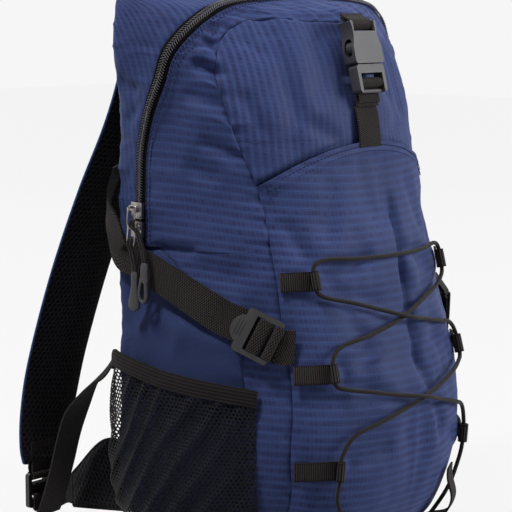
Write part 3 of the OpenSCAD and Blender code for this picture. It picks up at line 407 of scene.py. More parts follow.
# Folds, the same on both sides: turn and height of their two ends, width and height of the ridge
FOLDS = [[62.7, 382, 56, 375, 4, 2.4], [65, 375, 55.6, 366, 4.5, -4.9], [62, 392, 56.5, 388, 3.5, -3.3],
         [60, 401, 56, 396, 3.5, -2.8], [101, 241, 76, 240, 4, -4.2], [92, 233, 60, 222, 9, -2.8],
         [110, 215, 90, 170, 10, -4.2], [100, 228, 78, 178, 12, 2.1], [122, 225, 112, 185, 9, -3.5],
         [104, 190, 84, 172, 13, 3.9], [96, 205, 72, 186, 8, -4.2], [76, 330, 70, 262, 12, -2.6],
         [57, 205, 60, 120, 9, -2.4], [35, 385, 31, 332, 8, -3.1], [16, 400, 22, 345, 9, -2.8],
         [49, 352, 43, 324, 5, -2.6], [31, 219, 10, 234, 6, -3.5], [34, 154, 14, 168, 6, -3.5],
         [34, 86, 15, 97, 6, -3.5], [34, 148, 13, 133, 7, -2.8], [32, 213, 9, 199, 7, -2.8],
         [21, 288, 27, 248, 9, -2.8], [7, 300, 3, 258, 9, -2.4], [42, 262, 36, 232, 6, -2.3],
         [20, 180, 24, 120, 9, -2.4], [5, 120, 2, 60, 10, -2.1], [70, 352, 57, 345, 5, -2.6],
         [74, 300, 62, 292, 7, -2.4], [66, 318, 53, 308, 5, -2.8], [112, 300, 100, 292, 6, -3],
         [116, 330, 101, 338, 6, -3], [120, 360, 100, 352, 7, -3.2], [108, 262, 100, 256, 5, -2.6],
         [48, 392, 40, 380, 6, -2.2], [26, 330, 14, 318, 7, -2]]


def kept_low(d):
    """Smooth minimum of a height and half a millimetre, so that straps lie clear of the cloth."""
    return -np.log(np.exp(-3*d) + np.exp(-1.5))/3


def folds(p):
    """Sum of the folds at points of the plain body."""
    def total(q, rows):
        return sum(ridge(q, surf(t0, z0), surf(t1, z1), w, h) for t0, z0, t1, z1, w, h in rows)
    mirrored = np.stack([np.abs(p[..., 0]), p[..., 1], p[..., 2]], -1)
    return total(mirrored, FOLDS) + total(p, LONE_FOLDS)


def gathers(p, sides):
    """Short folds that run away from the sewn edges: noise of the way along the edge, stretched fourfold away
    from it and fading over 12 to 30 mm, with creases between."""
    a, b = ways(p)
    total = 0
    for k, (far, way) in enumerate(((a, b), (a[-1:] - a, b), (b, a), (b[:, -1:] - b, a))):
        q = np.stack([way, far/4, 0*way + 50*k], -1)
        total = total + sides[k]*(noise(q, 5.5, 11)*np.exp(-far/12) + 1.1*noise(q, 15, 12)*np.exp(-far/30)
                                  + .9*creases(q, 22, 14)*np.exp(-far/26))
    return total


def cloth(name, turn, z, material, lift=0.0, uv=None, pucker=.5, roll=(1, 1, 1, 1), calm=None, extra=None,
          hold=None, **rest):
    """Panel of cloth on the body: it lies at lift, settles unevenly, has its folds, rolls down into its seams
    as exp(-(e/1.1)^2) of the distance e to the edge, is gathered beside them, lies still beside calm edges,
    and lies on the plain body where hold is 1."""
    p = surf(turn, z)
    e = edge_distance(p, roll)
    d = settle(p) + folds(p) + pucker*gathers(p, roll)
    if calm:
        d = d*(1 - .92*np.exp(-(edge_distance(p, calm)/8)**2))
    if hold is not None:
        d = d*(1 - hold(p))
    d = lift + kept_low(d) - .7*np.exp(-(e/1.1)**2) - .6*np.exp(-e/6)
    if extra is not None:
        d = d + extra(p, z)
    uv = cloth_uv(turn, z) if uv is None else uv
    return slab(name, skin(turn, z, d), skin(turn, z, d - CLOTH_T), material, uv, **rest)


def outwards(piece, weld=0.0):
    """Turns every face of a closed piece to the outside, after joining points that lie on each other."""
    b = bmesh.new()
    b.from_mesh(piece.data)
    if weld:
        bmesh.ops.remove_doubles(b, verts=b.verts, dist=weld)
    bmesh.ops.recalc_face_normals(b, faces=b.faces)
    b.to_mesh(piece.data)
    b.free()
    return piece


def copies(faces, n, size):
    """Faces of n equal units that have size points each."""
    return (faces[None] + (np.arange(n)*size)[:, None, None]).reshape(-1, faces.shape[-1])


def pick(points, s, at):
    """Points of a line at the lengths at, where s has the length at each of its points."""
    return np.stack([np.interp(at, s, points[:, k]) for k in range(points.shape[1])], -1)


def sewn(name, turn, z, lift, body="pack"):
    """Row of stitches along a line on the body: each a slim lens of two square rings and two tips, a little
    sunk."""
    pitch = bpy.context.scene.daypack_trim.stitch/MM
    points, out = skin(turn, z, lift), out_of(turn, z)
    s = lengths(points)
    n = max(int(s[-1]/pitch), 2)
    at = (np.arange(n) + .5)*s[-1]/n
    c, o = pick(points, s, at), unit(pick(out, s, at))
    a = unit(pick(points, s, at + .5) - pick(points, s, at - .5))
    b = np.cross(a, o)
    long = pitch*.38
    corners = ((1, 1), (-1, 1), (-1, -1), (1, -1))
    rings = [(k*long*.55, x*.36, y*.3 + .12) for k in (-1, 1) for x, y in corners]
    r = np.array([(-long, 0, 0), *rings, (long, 0, 0)])[None, :, :, None]
    mesh = c[:, None] + r[:, :, 0]*a[:, None] + r[:, :, 1]*b[:, None] + r[:, :, 2]*o[:, None]
    j = np.arange(4)
    k = (j + 1) % 4
    faces = np.concatenate([np.stack([0*j, 1 + k, 1 + j], -1), np.stack([1 + j, 1 + k, 5 + j], -1),
                            np.stack([1 + k, 5 + k, 5 + j], -1), np.stack([5 + j, 5 + k, 9 + 0*j], -1)])
    return outwards(make(name, mesh, copies(faces, n, 10), stitching(), body=body, slot="ripstop", smooth=0))


def smooth_path(points, k):
    """Points on the curve through the given ones, k to a stretch: a cubic whose slope at each point is half
    the way between its neighbours."""
    p = np.asarray(points, float)
    q = np.concatenate([p[:1], p, p[-1:]])
    t = (np.arange(k)/k)[None, :, None]
    a, b, c, d = (q[i:i + len(p) - 1][:, None] for i in range(4))
    s = (2*b + (c - a)*t + (2*a - 5*b + 4*c - d)*t**2 + (3*b - a - 3*c + d)*t**3)/2
    return np.concatenate([s.reshape(-1, p.shape[1]), p[-1:]])


def axes(path, across):
    """Axes at each point of a path: along it, across made square to it, and the way the outside faces."""
    along = unit(np.gradient(path, axis=0))
    across = np.broadcast_to(np.asarray(across, float), path.shape)
    side = unit(across - (across*along).sum(-1, keepdims=True)*along)
    return along, side, np.cross(side, along)


def lanes(path, across, width, k):
    """Grid of points beside a path, at the shares k of its width, with the way outwards and the cloth
    coordinates: the way across and the way along."""
    path = np.asarray(path, float)
    side, face = axes(path, across)[1:]
    shift = k*np.broadcast_to(np.asarray(width, float), path.shape[:1])[:, None]
    mid = path[:, None] + side[:, None]*shift[..., None]
    return mid, face, pairs(shift, lengths(path)[:, None])


def band(name, path, across, width, thick, material, cols=6, side=1, **rest):
    """Flat band along a path, or its mirror image: each cross-section is a slim lens, its wide side along
    across, its edges an eighth thinner."""
    mirror = np.array([side, 1, 1])
    k = steps(cols, .04, 1) - .5
    mid, face, uv = lanes(np.asarray(path, float)*mirror, np.asarray(across, float)*mirror*side, width, k)
    up = face[:, None]*(thick/2*(1 - .12*(2*np.abs(k))**6))[None, :, None]
    return slab(name, mid - up, mid + up, material, uv, **rest)


def caps(n, width, j, k):
    """Fans that close both ends of n rings of width points. The edges of a ring lead from its points j to k,
    and the two middle points are stored after the rings."""
    last = (n - 1)*width
    return [np.stack([j, k, np.full(len(j), n*width)], -1),
            np.stack([k + last, j + last, np.full(len(j), n*width + 1)], -1)]


def tube(name, path, radius, material, sides=12, **rest):
    """Round cord along a path: rings at right angles to it, each turned as little as possible from the last.
    The cloth coordinates are the way round and the way along."""
    path = np.asarray(path, float)
    along = unit(np.gradient(path, axis=0))
    side = np.empty_like(path)
    s = np.array([0, 0, 1.0]) if abs(along[0][2]) < .9 else np.array([1.0, 0, 0])
    for i, a in enumerate(along):
        s = unit(s - (s@a)*a)
        side[i] = s
    other = np.cross(along, side)
    t = np.linspace(0, 2*np.pi, sides + 1)
    turn = t[None, :, None]
    ring = path[:, None] + radius*(np.cos(turn)*side[:, None] + np.sin(turn)*other[:, None])
    uv = pairs(t*radius, lengths(path)[:, None])
    n, j = len(path), np.arange(sides)
    points = np.concatenate([ring.reshape(-1, 3), path[:1], path[-1:]])
    uv = np.concatenate([uv.reshape(-1, 2), [[0, 0], [0, 0]]])
    faces = [quads(n - 1, sides, 0, True)] + caps(n, sides + 1, j, j + 1)
    return outwards(make(name, points, faces, material, uv, smooth=50, **rest), 1e-6)


# ---- shader nodes
def feed(tree, node, inputs):
    """Gives a node its inputs, each as a number or as the socket that feeds it."""
    for k, v in inputs.items():
        if isinstance(v, bpy.types.NodeSocket):
            tree.links.new(v, node.inputs[k])
        else:
            node.inputs[k].default_value = v
    return node


def put(tree, kind, inputs=None, **settings):
    """Shader node with its settings and inputs."""
    n = tree.nodes.new("ShaderNode" + kind)
    for k, v in settings.items():
        setattr(n, k, v)
    return feed(tree, n, inputs or {})


def maths(operation):
    """Maker of one kind of Math node, for up to three values or sockets."""
    return lambda tree, a, b=0.0, c=0.0: put(tree, "Math", {0: a, 1: b, 2: c}, operation=operation).outputs[0]


plus, minus, times, over, scaled = map(maths, ("ADD", "SUBTRACT", "MULTIPLY", "DIVIDE", "MULTIPLY_ADD"))
least, most, sine, root = map(maths, ("MINIMUM", "MAXIMUM", "SINE", "SQRT"))
fract, whole, absolute = map(maths, ("FRACT", "FLOOR", "ABSOLUTE"))


def blend_of(tree, share, a, b):
    """Colour between a and b, which may be hexadecimal display colours."""
    a, b = (colour(k) if isinstance(k, str) else k for k in (a, b))
    return put(tree, "Mix", {0: share, 6: a, 7: b}, data_type="RGBA").outputs[2]


def ramp(tree, value, low, high, to_low=0.0, to_high=1.0):
    """Value taken from the stretch low..high to the stretch to_low..to_high, smoothly and clamped."""
    ends = {"Value": value, "From Min": low, "From Max": high, "To Min": to_low, "To Max": to_high}
    return put(tree, "MapRange", ends, interpolation_type="SMOOTHSTEP").outputs["Result"]


def mapped(tree, value, low):
    """Value from 0..1 taken to low..1."""
    return scaled(tree, value, 1 - low, low)


def wave(tree, value, period):
    """Wave between 0 and 1 along a value."""
    return scaled(tree, sine(tree, times(tree, value, 2*np.pi/period)), .5, .5)


def flat(tree, vector):
    """First two coordinates of a vector."""
    return put(tree, "SeparateXYZ", {0: vector}).outputs[:2]


def off_centre(tree, value):
    """Distance of a value from the middle of its unit cell."""
    return absolute(tree, minus(tree, fract(tree, value), .5))


def grain(tree, vector, scale, detail=2.0, roughness=.5):
    """Noise of the given scale."""
    inputs = {"Vector": vector, "Scale": scale, "Detail": detail, "Roughness": roughness}
    return put(tree, "TexNoise", inputs).outputs["Fac"]


def colour(text, k=1.0):
    """Linear colour from a hexadecimal display colour, scaled by k."""
    c = np.array([int(text[i:i + 2], 16) for i in (1, 3, 5)])/255
    c = np.where(c <= .04045, c/12.92, ((c + .055)/1.055)**2.4)*k
    return (*c.tolist(), 1.0)


def scaled_tint(tint, k=1.0):
    """Colour of a property, scaled by k."""
    return (*[k*c for c in tint[:3]], 1)


def effect(name, inputs, outputs, build):
    """Node group made once and shared, with a vector and some numbers as inputs: build(tree, inputs) returns
    the sockets of its outputs."""
    tree = bpy.data.node_groups.get(name)
    if tree:
        return tree
    tree = bpy.data.node_groups.new(name, "ShaderNodeTree")
    tree.interface.new_socket(name="Vector", in_out="INPUT", socket_type="NodeSocketVector")
    for key, value in inputs.items():
        tree.interface.new_socket(name=key, in_out="INPUT", socket_type="NodeSocketFloat").default_value = value
    for key in outputs:
        tree.interface.new_socket(name=key, in_out="OUTPUT", socket_type="NodeSocketFloat")
    start, end = tree.nodes.new("NodeGroupInput"), tree.nodes.new("NodeGroupOutput")
    for key, socket in zip(outputs, build(tree, start.outputs)):
        tree.links.new(socket, end.inputs[key])
    return tree


def use(tree, group, **inputs):
    """Outputs of a node group."""
    return put(tree, "Group", inputs, node_tree=group).outputs


def dashes():
    """Ripstop pattern: across the rows a band half a row high, cut into dashes by thin lines; Lines marks the
    heavier threads between the rows."""
    def build(t, i):
        x, y = flat(t, i["Vector"])
        x = over(t, x, i["Dash"])
        y = plus(t, over(t, y, i["Row"]), times(t, grain(t, i["Vector"], 1.5), .25))
        fx, fy = off_centre(t, x), off_centre(t, y)
        at = put(t, "CombineXYZ", {0: whole(t, x), 1: whole(t, y)}).outputs[0]
        cell = put(t, "TexWhiteNoise", {"Vector": at}).outputs["Value"]
        share = times(t, mapped(t, ramp(t, fx, .47, .36), .6), mapped(t, cell, .45))
        line = most(t, ramp(t, fy, .44, .5), times(t, ramp(t, fx, .42, .49), .6))
        return times(t, ramp(t, fy, .31, .19), share), line
    return effect("Ripstop dashes", {"Row": .07, "Dash": .042}, ("Dashes", "Lines"), build)


def threads():
    """Plain weave: two sets of round threads that pass over and under each other."""
    def build(t, i):
        w = [sine(t, times(t, over(t, k, i["Thread"]), np.pi)) for k in flat(t, i["Vector"])]
        return scaled(t, times(t, *w), .5, times(t, grain(t, i["Vector"], 60.0, 3.0), .8)),
    return effect("Plain weave", {"Thread": .008}, ("Height",), build)


def ribs():
    """Webbing: ribs across its length, broken into columns, and a plain selvage along both edges."""
    def build(t, i):
        x, y = flat(t, i["Vector"])
        column = plus(t, over(t, x, i["Column"]), .5)
        turn = plus(t, times(t, over(t, y, i["Rib"]), 2*np.pi), times(t, whole(t, column), np.pi))
        gap = mapped(t, ramp(t, off_centre(t, column), .5, .34), .35)
        rib = times(t, scaled(t, sine(t, turn), .5, .5), gap)
        return scaled(t, rib, .8, times(t, grain(t, i["Vector"], 45.0, 3.0), .3)),
    return effect("Webbing ribs", {"Rib": .022, "Column": .03}, ("Height",), build)


def holes():
    """Honeycomb of round holes: the distance to the nearer of two interleaved square grids of centres."""
    def build(t, i):
        x, y = flat(t, i["Vector"])
        x, y = over(t, x, i["Pitch"]), over(t, y, times(t, i["Pitch"], 3**.5))
        dist = []
        for k in (0.0, .5):
            a = minus(t, fract(t, plus(t, x, k)), .5)
            b = times(t, minus(t, fract(t, plus(t, y, k)), .5), 3**.5)
            dist.append(root(t, plus(t, times(t, a, a), times(t, b, b))))
        d = least(t, *dist)
        return ramp(t, d, i["Open"], plus(t, i["Open"], .12), 1.0, 0.0), d
    return effect("Round holes", {"Pitch": .04, "Open": .28}, ("Hole", "Height"), build)


def fading():
    """Uneven dye and dust: broad soft clouds with a little fine grain."""
    def build(t, i):
        clouds = ramp(t, grain(t, i["Vector"], i["Scale"], 3.0, .55), .3, .7)
        return scaled(t, clouds, .7, times(t, grain(t, i["Vector"], times(t, i["Scale"], 14.0)), .3)),
    return effect("Fading", {"Scale": 9.0}, ("Share",), build)


# ---- finishes
def finish(name, build):
    """Material of that name, made on first use: build(tree, shader) wires the Principled shader."""
    m = bpy.data.materials.get(name)
    if m:
        return m
    m = bpy.data.materials.new(name)
    m.use_nodes = True
    build(m.node_tree, m.node_tree.nodes["Principled BSDF"])
    return m


def wire(tree, shader, base, rough, height=None, bump=.3, depth=.0004, **constants):
    """Feeds the colour, roughness and bump of a shader, and sets its constants by socket name."""
    feed(tree, shader, {"Base Color": base, "Roughness": rough})
    if height is not None:
        n = put(tree, "Bump", {"Strength": bump, "Distance": depth, "Height": height})
        tree.links.new(n.outputs[0], shader.inputs["Normal"])
    feed(tree, shader, {key.replace("_", " "): value for key, value in constants.items()})


def cloth_vector(tree, turned=False):
    """Cloth coordinates in decimetres, turned a quarter where the cloth was cut across."""
    v = put(tree, "UVMap", uv_map="cloth").outputs[0]
    return put(tree, "Mapping", {"Vector": v, "Rotation": (0, 0, np.pi/2)}).outputs[0] if turned else v


def object_vector(tree):
    """Coordinates of the piece itself, in metres."""
    return put(tree, "TexCoord").outputs["Object"]


def faded(tree, scale):
    """Share of fading on the piece, in clouds of the given scale."""
    return use(tree, fading(), Vector=object_vector(tree), Scale=scale)["Share"]


def weave(tree, vector, thread):
    """Height of a plain weave with threads of that width."""
    return use(tree, threads(), Vector=vector, Thread=thread)["Height"]


def ripstop(turned=False):
    """Navy cloth with rows of dark dashes, cut along them or across."""
    p = bpy.context.scene.daypack_cloth

    def build(t, s):
        v = cloth_vector(t, turned)
        d = use(t, dashes(), Vector=v, Row=p.ripstop_row*10, Dash=p.ripstop_dash*10)
        f = faded(t, 8.0)
        base = blend_of(t, f, scaled_tint(p.navy, .86), scaled_tint(p.navy, 1.12))
        base = blend_of(t, times(t, d["Dashes"], ramp(t, f, .1, .9, .34, .64)), base, scaled_tint(p.navy_dark))
        base = blend_of(t, times(t, d["Lines"], .16), base, scaled_tint(p.navy_light))
        h = scaled(t, d["Lines"], .9, times(t, weave(t, v, .007), .5))
        wire(t, s, base, ramp(t, f, 0, 1, .52, .66), h, .35, .00035, Sheen_Weight=.16, Sheen_Roughness=.42,
             Sheen_Tint=colour("#9fb0e6"), Specular_IOR_Level=.1)
    return finish("Ripstop across" if turned else "Ripstop", build)


def twill():
    """Dark plain cloth with fine slanting lines."""
    p = bpy.context.scene.daypack_cloth

    def build(t, s):
        v = cloth_vector(t)
        x, y = flat(t, v)
        line = sine(t, times(t, plus(t, times(t, x, .6), y), 2*np.pi/.013))
        base = blend_of(t, faded(t, 10.0), scaled_tint(p.twill, .8), scaled_tint(p.twill, 1.1))
        base = blend_of(t, scaled(t, line, .15, .15), base, scaled_tint(p.navy_light))
        wire(t, s, base, .68, scaled(t, line, .5, weave(t, v, .009)), .5, Sheen_Weight=.14, Sheen_Roughness=.45,
             Sheen_Tint=colour("#8ea0dc"), Specular_IOR_Level=.08)
    return finish("Fine twill", build)


def webbing(name="Webbing", dark="#0a090b", light="#4a4442", rib=1.7, column=1.7):
    """Black ribbed webbing, with the spacing of its ribs and columns in millimetres. Its colour runs from dark in the
    grooves to light on the rib tops: painted shade and painted highlight.
    """
    def build(t, s):
        h = use(t, ribs(), Vector=cloth_vector(t), Rib=rib/100, Column=column/100)["Height"]
        # Painted light: by the rib height, the rib tops get the light colour and the grooves and column gaps get the
        # dark one.
        base = blend_of(t, ramp(t, h, .1, 1.0), dark, light)
        base = blend_of(t, times(t, faded(t, 25.0), .35), base, dark)
        wire(t, s, base, .75, h, .8, .0007, Sheen_Weight=.06, Sheen_Roughness=.5, Specular_IOR_Level=.08)
    return finish(name, build)


def moulded(name, tone, dark, rough):
    """Satin moulded plastic: fine spark-eroded grain, a few rubbed patches and a slow change of tone."""
    def build(t, s):
        g = grain(t, object_vector(t), 1680.0, 2.0, .6)
        f = faded(t, 30.0)
        wire(t, s, blend_of(t, f, dark, tone), scaled(t, f, .12, rough - .04), g, .25, .0002,
             Specular_IOR_Level=.5, Coat_Weight=.06, Coat_Roughness=.3)
    return finish(name, build)


def zinc():
    """Dull plated zinc."""
    def build(t, s):
        f = faded(t, 90.0)
        wire(t, s, blend_of(t, f, "#6a6462", "#aaa5a1"), scaled(t, f, -.15, .36),
             grain(t, object_vector(t), 900.0), .15, .0002, Metallic=1.0)
    return finish("Plated zinc", build)


def steel():
    """Bright spring steel."""
    def build(t, s):
        f = grain(t, object_vector(t), 600.0)
        wire(t, s, blend_of(t, f, "#77787c", "#b4b6ba"), ramp(t, f, 0, 1, .22, .4), f, .1, .0002,
             Metallic=1.0)
    return finish("Spring steel", build)


def air_mesh(name="Air mesh", pitch=4.4):
    """Three-layer spacer mesh: a knitted face, painted lighter on its weave crests (painted highlight), with round
    holes painted near black (painted shade in the holes).
    """
    def build(t, s):
        v = cloth_vector(t)
        hole = use(t, holes(), Vector=v, Pitch=pitch/100, Open=.27)["Hole"]
        k = weave(t, v, .006)
        face = blend_of(t, faded(t, 14.0), colour("#1d1c21", .8), colour("#1d1c21", 1.5))
        # Painted highlight: the face is lighter where the weave stands high.
        face = blend_of(t, times(t, k, .25), face, "#26252b")
        # Painted shade: the holes are painted near black.
        wire(t, s, blend_of(t, hole, face, "#010102"), .85, scaled(t, hole, -1.0, times(t, k, .2)), .9, .0012,
             Sheen_Weight=.12, Specular_IOR_Level=.05)
    return finish(name, build)


def net():
    """Open stretch net: threads round the holes, and nothing in them. The threads are painted lighter where the weave
    stands high: painted highlight.
    """
    def build(t, s):
        v = cloth_vector(t)
        m = use(t, holes(), Vector=v, Pitch=.030, Open=.28)
        k = weave(t, v, .005)
        # Painted highlight: the thread colour rises with the weave height.
        base = blend_of(t, ramp(t, k, .1, .9), "#08080b", "#2f2c2e")
        t.links.new(minus(t, 1.0, m["Hole"]), s.inputs["Alpha"])
        wire(t, s, base, .6, scaled(t, m["Height"], .8, times(t, k, .2)), .5, .0006, Sheen_Weight=.04,
             Specular_IOR_Level=.08)
    return finish("Net", build)


def elastic():
    """Ribbed elastic binding, its rib crests painted lighter and its hollows darker: painted highlight and painted
    shade.
    """
    def build(t, s):
        x, y = flat(t, cloth_vector(t))
        h = scaled(t, wave(t, y, .024), .7, times(t, wave(t, x, .011), .3))
        # Painted light: by the rib height, lighter on the crests and darker in the hollows.
        base = blend_of(t, times(t, h, .6), "#0b090a", "#3d3838")
        base = blend_of(t, times(t, faded(t, 20.0), .4), base, "#151314")
        wire(t, s, base, .75, h, .6, .0006, Sheen_Weight=.05, Specular_IOR_Level=.08)
    return finish("Elastic binding", build)


def braid():
    """Sheath of a shock cord: two sets of strands that wind round it both ways. Where the strands stand high it is
    painted lighter, and between them darker: painted highlight and painted shade.
    """
    def build(t, s):
        x, y = flat(t, cloth_vector(t))
        turns = [plus(t, times(t, x, k*2*np.pi*8/.1005), times(t, y, 2*np.pi/.026)) for k in (-1.0, 1.0)]
        h = times(t, *[scaled(t, sine(t, a), .5, .5) for a in turns])
        # Painted light: lighter where both strands stand high, darker between them.
        base = blend_of(t, h, "#0e0d0e", "#46413e")
        base = blend_of(t, times(t, faded(t, 30.0), .3), base, "#1c191a")
        wire(t, s, base, .7, h, .7, .0005, Sheen_Weight=.1, Specular_IOR_Level=.12)
    return finish("Braided sheath", build)


def stitching():
    """Navy sewing thread."""
    def build(t, s):
        f = grain(t, object_vector(t), 1500.0)
        base = blend_of(t, f, colour("#1b2452", .8), colour("#1b2452", 1.4))
        wire(t, s, base, .7, f, .3, .0002, Sheen_Weight=.1, Specular_IOR_Level=.1)
    return finish("Stitching", build)


def zip_tape():
    """Black woven tape with fine ribs along it, painted lighter on their crests and darker between them: painted
    highlight and painted shade.
    """
    def build(t, s):
        rib = wave(t, flat(t, cloth_vector(t))[0], .012)
        # Painted light: by the rib height, lighter on the crests and darker between them.
        base = blend_of(t, times(t, rib, .5), "#050506", "#18171a")
        base = blend_of(t, times(t, faded(t, 30.0), .3), base, "#0d0d10")
        wire(t, s, base, .8, rib, .4, Specular_IOR_Level=.08)
    return finish("Zip tape", build)


# ---- what a user would change
def tint(name, description, tone):
    """Colour that a user may change."""
    return bpy.props.FloatVectorProperty(name=name, description=description, default=colour(tone)[:3],
                                         subtype="COLOR", size=3, min=0, max=1)


def metres(name, description, default, low, high):
    """Length in metres that a user may change."""
    return bpy.props.FloatProperty(name=name, description=description, default=default, min=low, max=high,
                                   unit="LENGTH")


class DaypackCloth(bpy.types.PropertyGroup):
    navy: tint("Navy", "Main colour of the ripstop cloth", "#3d4b7a")
    navy_dark: tint("Dark dashes", "Colour of the dashes in the ripstop", "#2b2447")
    navy_light: tint("Light threads", "Colour of the heavier threads", "#6b79b4")
    twill: tint("Twill", "Colour of the plain cloth of the sides and base", "#1f2a50")
    ripstop_row: metres("Row height", "Distance between the rows of dashes", .0061, .002, .03)
    ripstop_dash: metres("Dash length", "Distance between the dashes of a row", .0031, .001, .03)


class DaypackTrim(bpy.types.PropertyGroup):
    stitch: metres("Stitch length", "Distance from one stitch to the next", .0032, .001, .01)
    tooth: metres("Zip pitch", "Distance between the teeth of the zip coil", .002, .001, .01)
    cord: metres("Cord diameter", "Thickness of the shock cord", .0032, .001, .008)


class DaypackStage(bpy.types.PropertyGroup):
    key: bpy.props.FloatProperty(name="Key light", description="Power of the key lamp, which the others follow",
                                 default=36.0, min=0, unit="POWER")
    sky: bpy.props.FloatProperty(name="Sky", description="Strength of the light from all round", default=.13,
                                 min=0)
    backdrop: tint("Backdrop", "Colour of the floor and backdrop", "#f6f6f6")


# ---- stage
# Lamps: name, place, width and share of the key light's power
LAMPS = (("key", (1.25, -1.75, .95), 1.0, .9), ("fill", (-1.3, .2, 2.5), .45, 1.35),
         ("rim", (.6, 2.2, 1.8), 1.4, .3))
FLOOR_SHADE = (.32, .32, .33, 1)    # what the floor sends back to the daypack, darker than it looks


def aimed(name, data, at, target):
    """Camera or lamp at a place, turned towards a target."""
    thing = linked(name, data)
    thing.location = at
    thing.rotation_euler = (Vector(target) - thing.location).to_track_quat("-Z", "Y").to_euler()
    return thing


class DAYPACK_OT_stage(bpy.types.Operator):
    """Camera, pale floor, soft lamps and a pale surround"""
    bl_idname = "daypack.stage"
    bl_label = "Stage and camera"

    def execute(self, context):
        p = context.scene.daypack_stage
        backdrop = (*p.backdrop, 1)
        data = bpy.data.cameras.new("camera")
        data.lens, data.sensor_width, data.clip_end = 127.97, 36, 100
        context.scene.camera = aimed("camera", data, (-1.0855, -.8839, .415), (-.013, .016, .222))
        for name, at, width, share in LAMPS:
            lamp = bpy.data.lights.new(name, "AREA")
            lamp.energy, lamp.size = p.key*share, width
            aimed(name, lamp, at, (0, 0, .25))
        world = bpy.data.worlds.new("surround")
        world.use_nodes = True
        t = world.node_tree
        ray = put(t, "LightPath").outputs
        seen = most(t, ray["Is Camera Ray"], most(t, ray["Is Glossy Ray"], ray["Is Transmission Ray"]))
        light = blend_of(t, seen, (p.sky, p.sky, p.sky, 1), backdrop)
        t.links.new(light, t.nodes["Background"].inputs["Color"])
        context.scene.world = world
        mesh = bpy.data.meshes.new("floor")
        mesh.from_pydata([(-6, -6, 0), (6, -6, 0), (6, 6, 0), (-6, 6, 0)], [], [(0, 1, 2, 3)])
        floor = linked("floor", mesh)

        def pale(t, s):
            ray = put(t, "LightPath").outputs
            seen = most(t, ray["Is Camera Ray"], ray["Is Glossy Ray"])
            glow = put(t, "Emission", {"Color": backdrop, "Strength": 1.03})
            wire(t, s, blend_of(t, seen, FLOOR_SHADE, backdrop), .9)
            both = put(t, "MixShader", {0: times(t, seen, .93), 1: s.outputs[0], 2: glow.outputs[0]})
            t.links.new(both.outputs[0], t.nodes["Material Output"].inputs["Surface"])
        mesh.materials.append(finish("Pale floor", pale))
        context.scene.view_settings.view_transform = "Standard"
        return {"FINISHED"}


# ---- shock cord
# Lacing of the right and left side: points in the middle of the cord; then heights and place of its tabs
CORD = [[-.2, -112.8, 16.5], [-10, -112.8, 16.5], [-25, -110.5, 18], [-43.5, -110, 25.5], [-64.5, -113, 43.5],
        [-77, -114, 62.5], [-78.5, -117, 77.5], [-78.5, -118, 93.5], [-68.5, -122.5, 110], [-47.5, -130, 117.5],
        [-24.5, -133.5, 123.5], [2, -134, 129], [28.5, -131, 135], [51.5, -125.5, 140], [69.5, -118, 143.5],
        [79, -113, 148], [78, -109.5, 163.5], [68.5, -110, 173.5], [45.5, -116, 178.5], [18.5, -119.5, 184],
        [-1, -122, 188], [-31.5, -113.5, 197], [-53.5, -107.5, 203.5], [-69.5, -100.5, 207.5], [-78.5, -95.5, 213],
        [-78.5, -92, 228.5], [-68.5, -94, 234.5], [-41, -102.5, 233.5], [0, -106.5, 232.5], [41, -103, 232.5],
        [68.5, -94, 233.5], [78.5, -92, 228.5], [78.5, -95.5, 213], [69.5, -100.5, 207.5], [53.5, -107.5, 203.5],
        [30.5, -113.5, 198.5], [8, -117, 191.5], [-18.5, -118.5, 184.5], [-45.5, -116, 178.5], [-68.5, -110, 173.5],
        [-78, -109.5, 163.5], [-79, -113, 148], [-69.5, -118, 143.5], [-51.5, -125.5, 140], [-28.5, -131, 135],
        [-2, -138.3, 130.5], [24.5, -133.5, 123.5], [47.5, -130, 117.5], [68.5, -122.5, 110], [78.5, -118, 93.5],
        [78.5, -117, 77.5], [77, -114, 62.5], [64.5, -113, 43.5], [43.5, -110, 25.5], [25, -110.5, 18],
        [10, -112.8, 16.5], [.2, -112.8, 16.5]]
TAB_Z, TAB_X = (86.0, 154.0, 219.0), 75.0


class DAYPACK_OT_cord(bpy.types.Operator):
    """Shock cord laced over the front pocket through its tabs"""
    bl_idname = "daypack.cord"
    bl_label = "Shock cord and tabs"

    def execute(self, context):
        r = context.scene.daypack_trim.cord/MM/2
        cord = tube("cord_laced", smooth_path(CORD, 5), r, braid(), 14, slot="cord")
        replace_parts(cord, "shock_cord")
        bend, laid_off = r + .5 + WEB_T/2, POCKET_OFF + WEB_GAP + WEB_T/2
        a = np.radians(np.arange(-75, 250, 16))[:, None]
        for side, word in SIDES:
            for k, z in enumerate(TAB_Z):
                h, turn = level(z), turn_x(level(TAB_X), level(z))
                at, out = skin(turn, h, laid_off + bend)[0], out_of(turn, h)[0]
                up = unit(surf(turn, h + 5)[0] - surf(turn, h - 5)[0])
                foot = skin(turn_x(np.linspace(seam_x(z) - 1, TAB_X + 2, 7), z), z, laid_off)
                loop = at - bend*np.cos(a)*out - bend*np.sin(a)*np.cross(up, out)
                tab = band(f"cord_tab_{word[0]}{k + 1}", np.concatenate([foot, loop]), up, TAB_W, WEB_T,
                           webbing("Tab webbing", rib=1.6, column=14.0), cols=4, side=side, slot="webbing")
                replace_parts(tab, "cord_tabs")
        return {"FINISHED"}


# ---- cloth of the body
ZIP_FRONT_EDGE, ZIP_REAR_EDGE = 4.4, 3.9    # from the middle of the zip to the cloth on either side
EDGE = -.02    # how far the cloth on either side ends short of a seam; it laps over it a little


def fold_blend(piece):
    """Cloth that crosses the fold of the flap: its place is baked into its mesh, and it rides on no body."""
    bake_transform(piece)


def hand(side, turn, *rest):
    """Grids of the right side, or for the left their mirror image, with the rows turned round so that it still
    faces outwards."""
    return (turn, *rest) if side > 0 else (-turn[::-1], *(g[::-1] for g in rest))


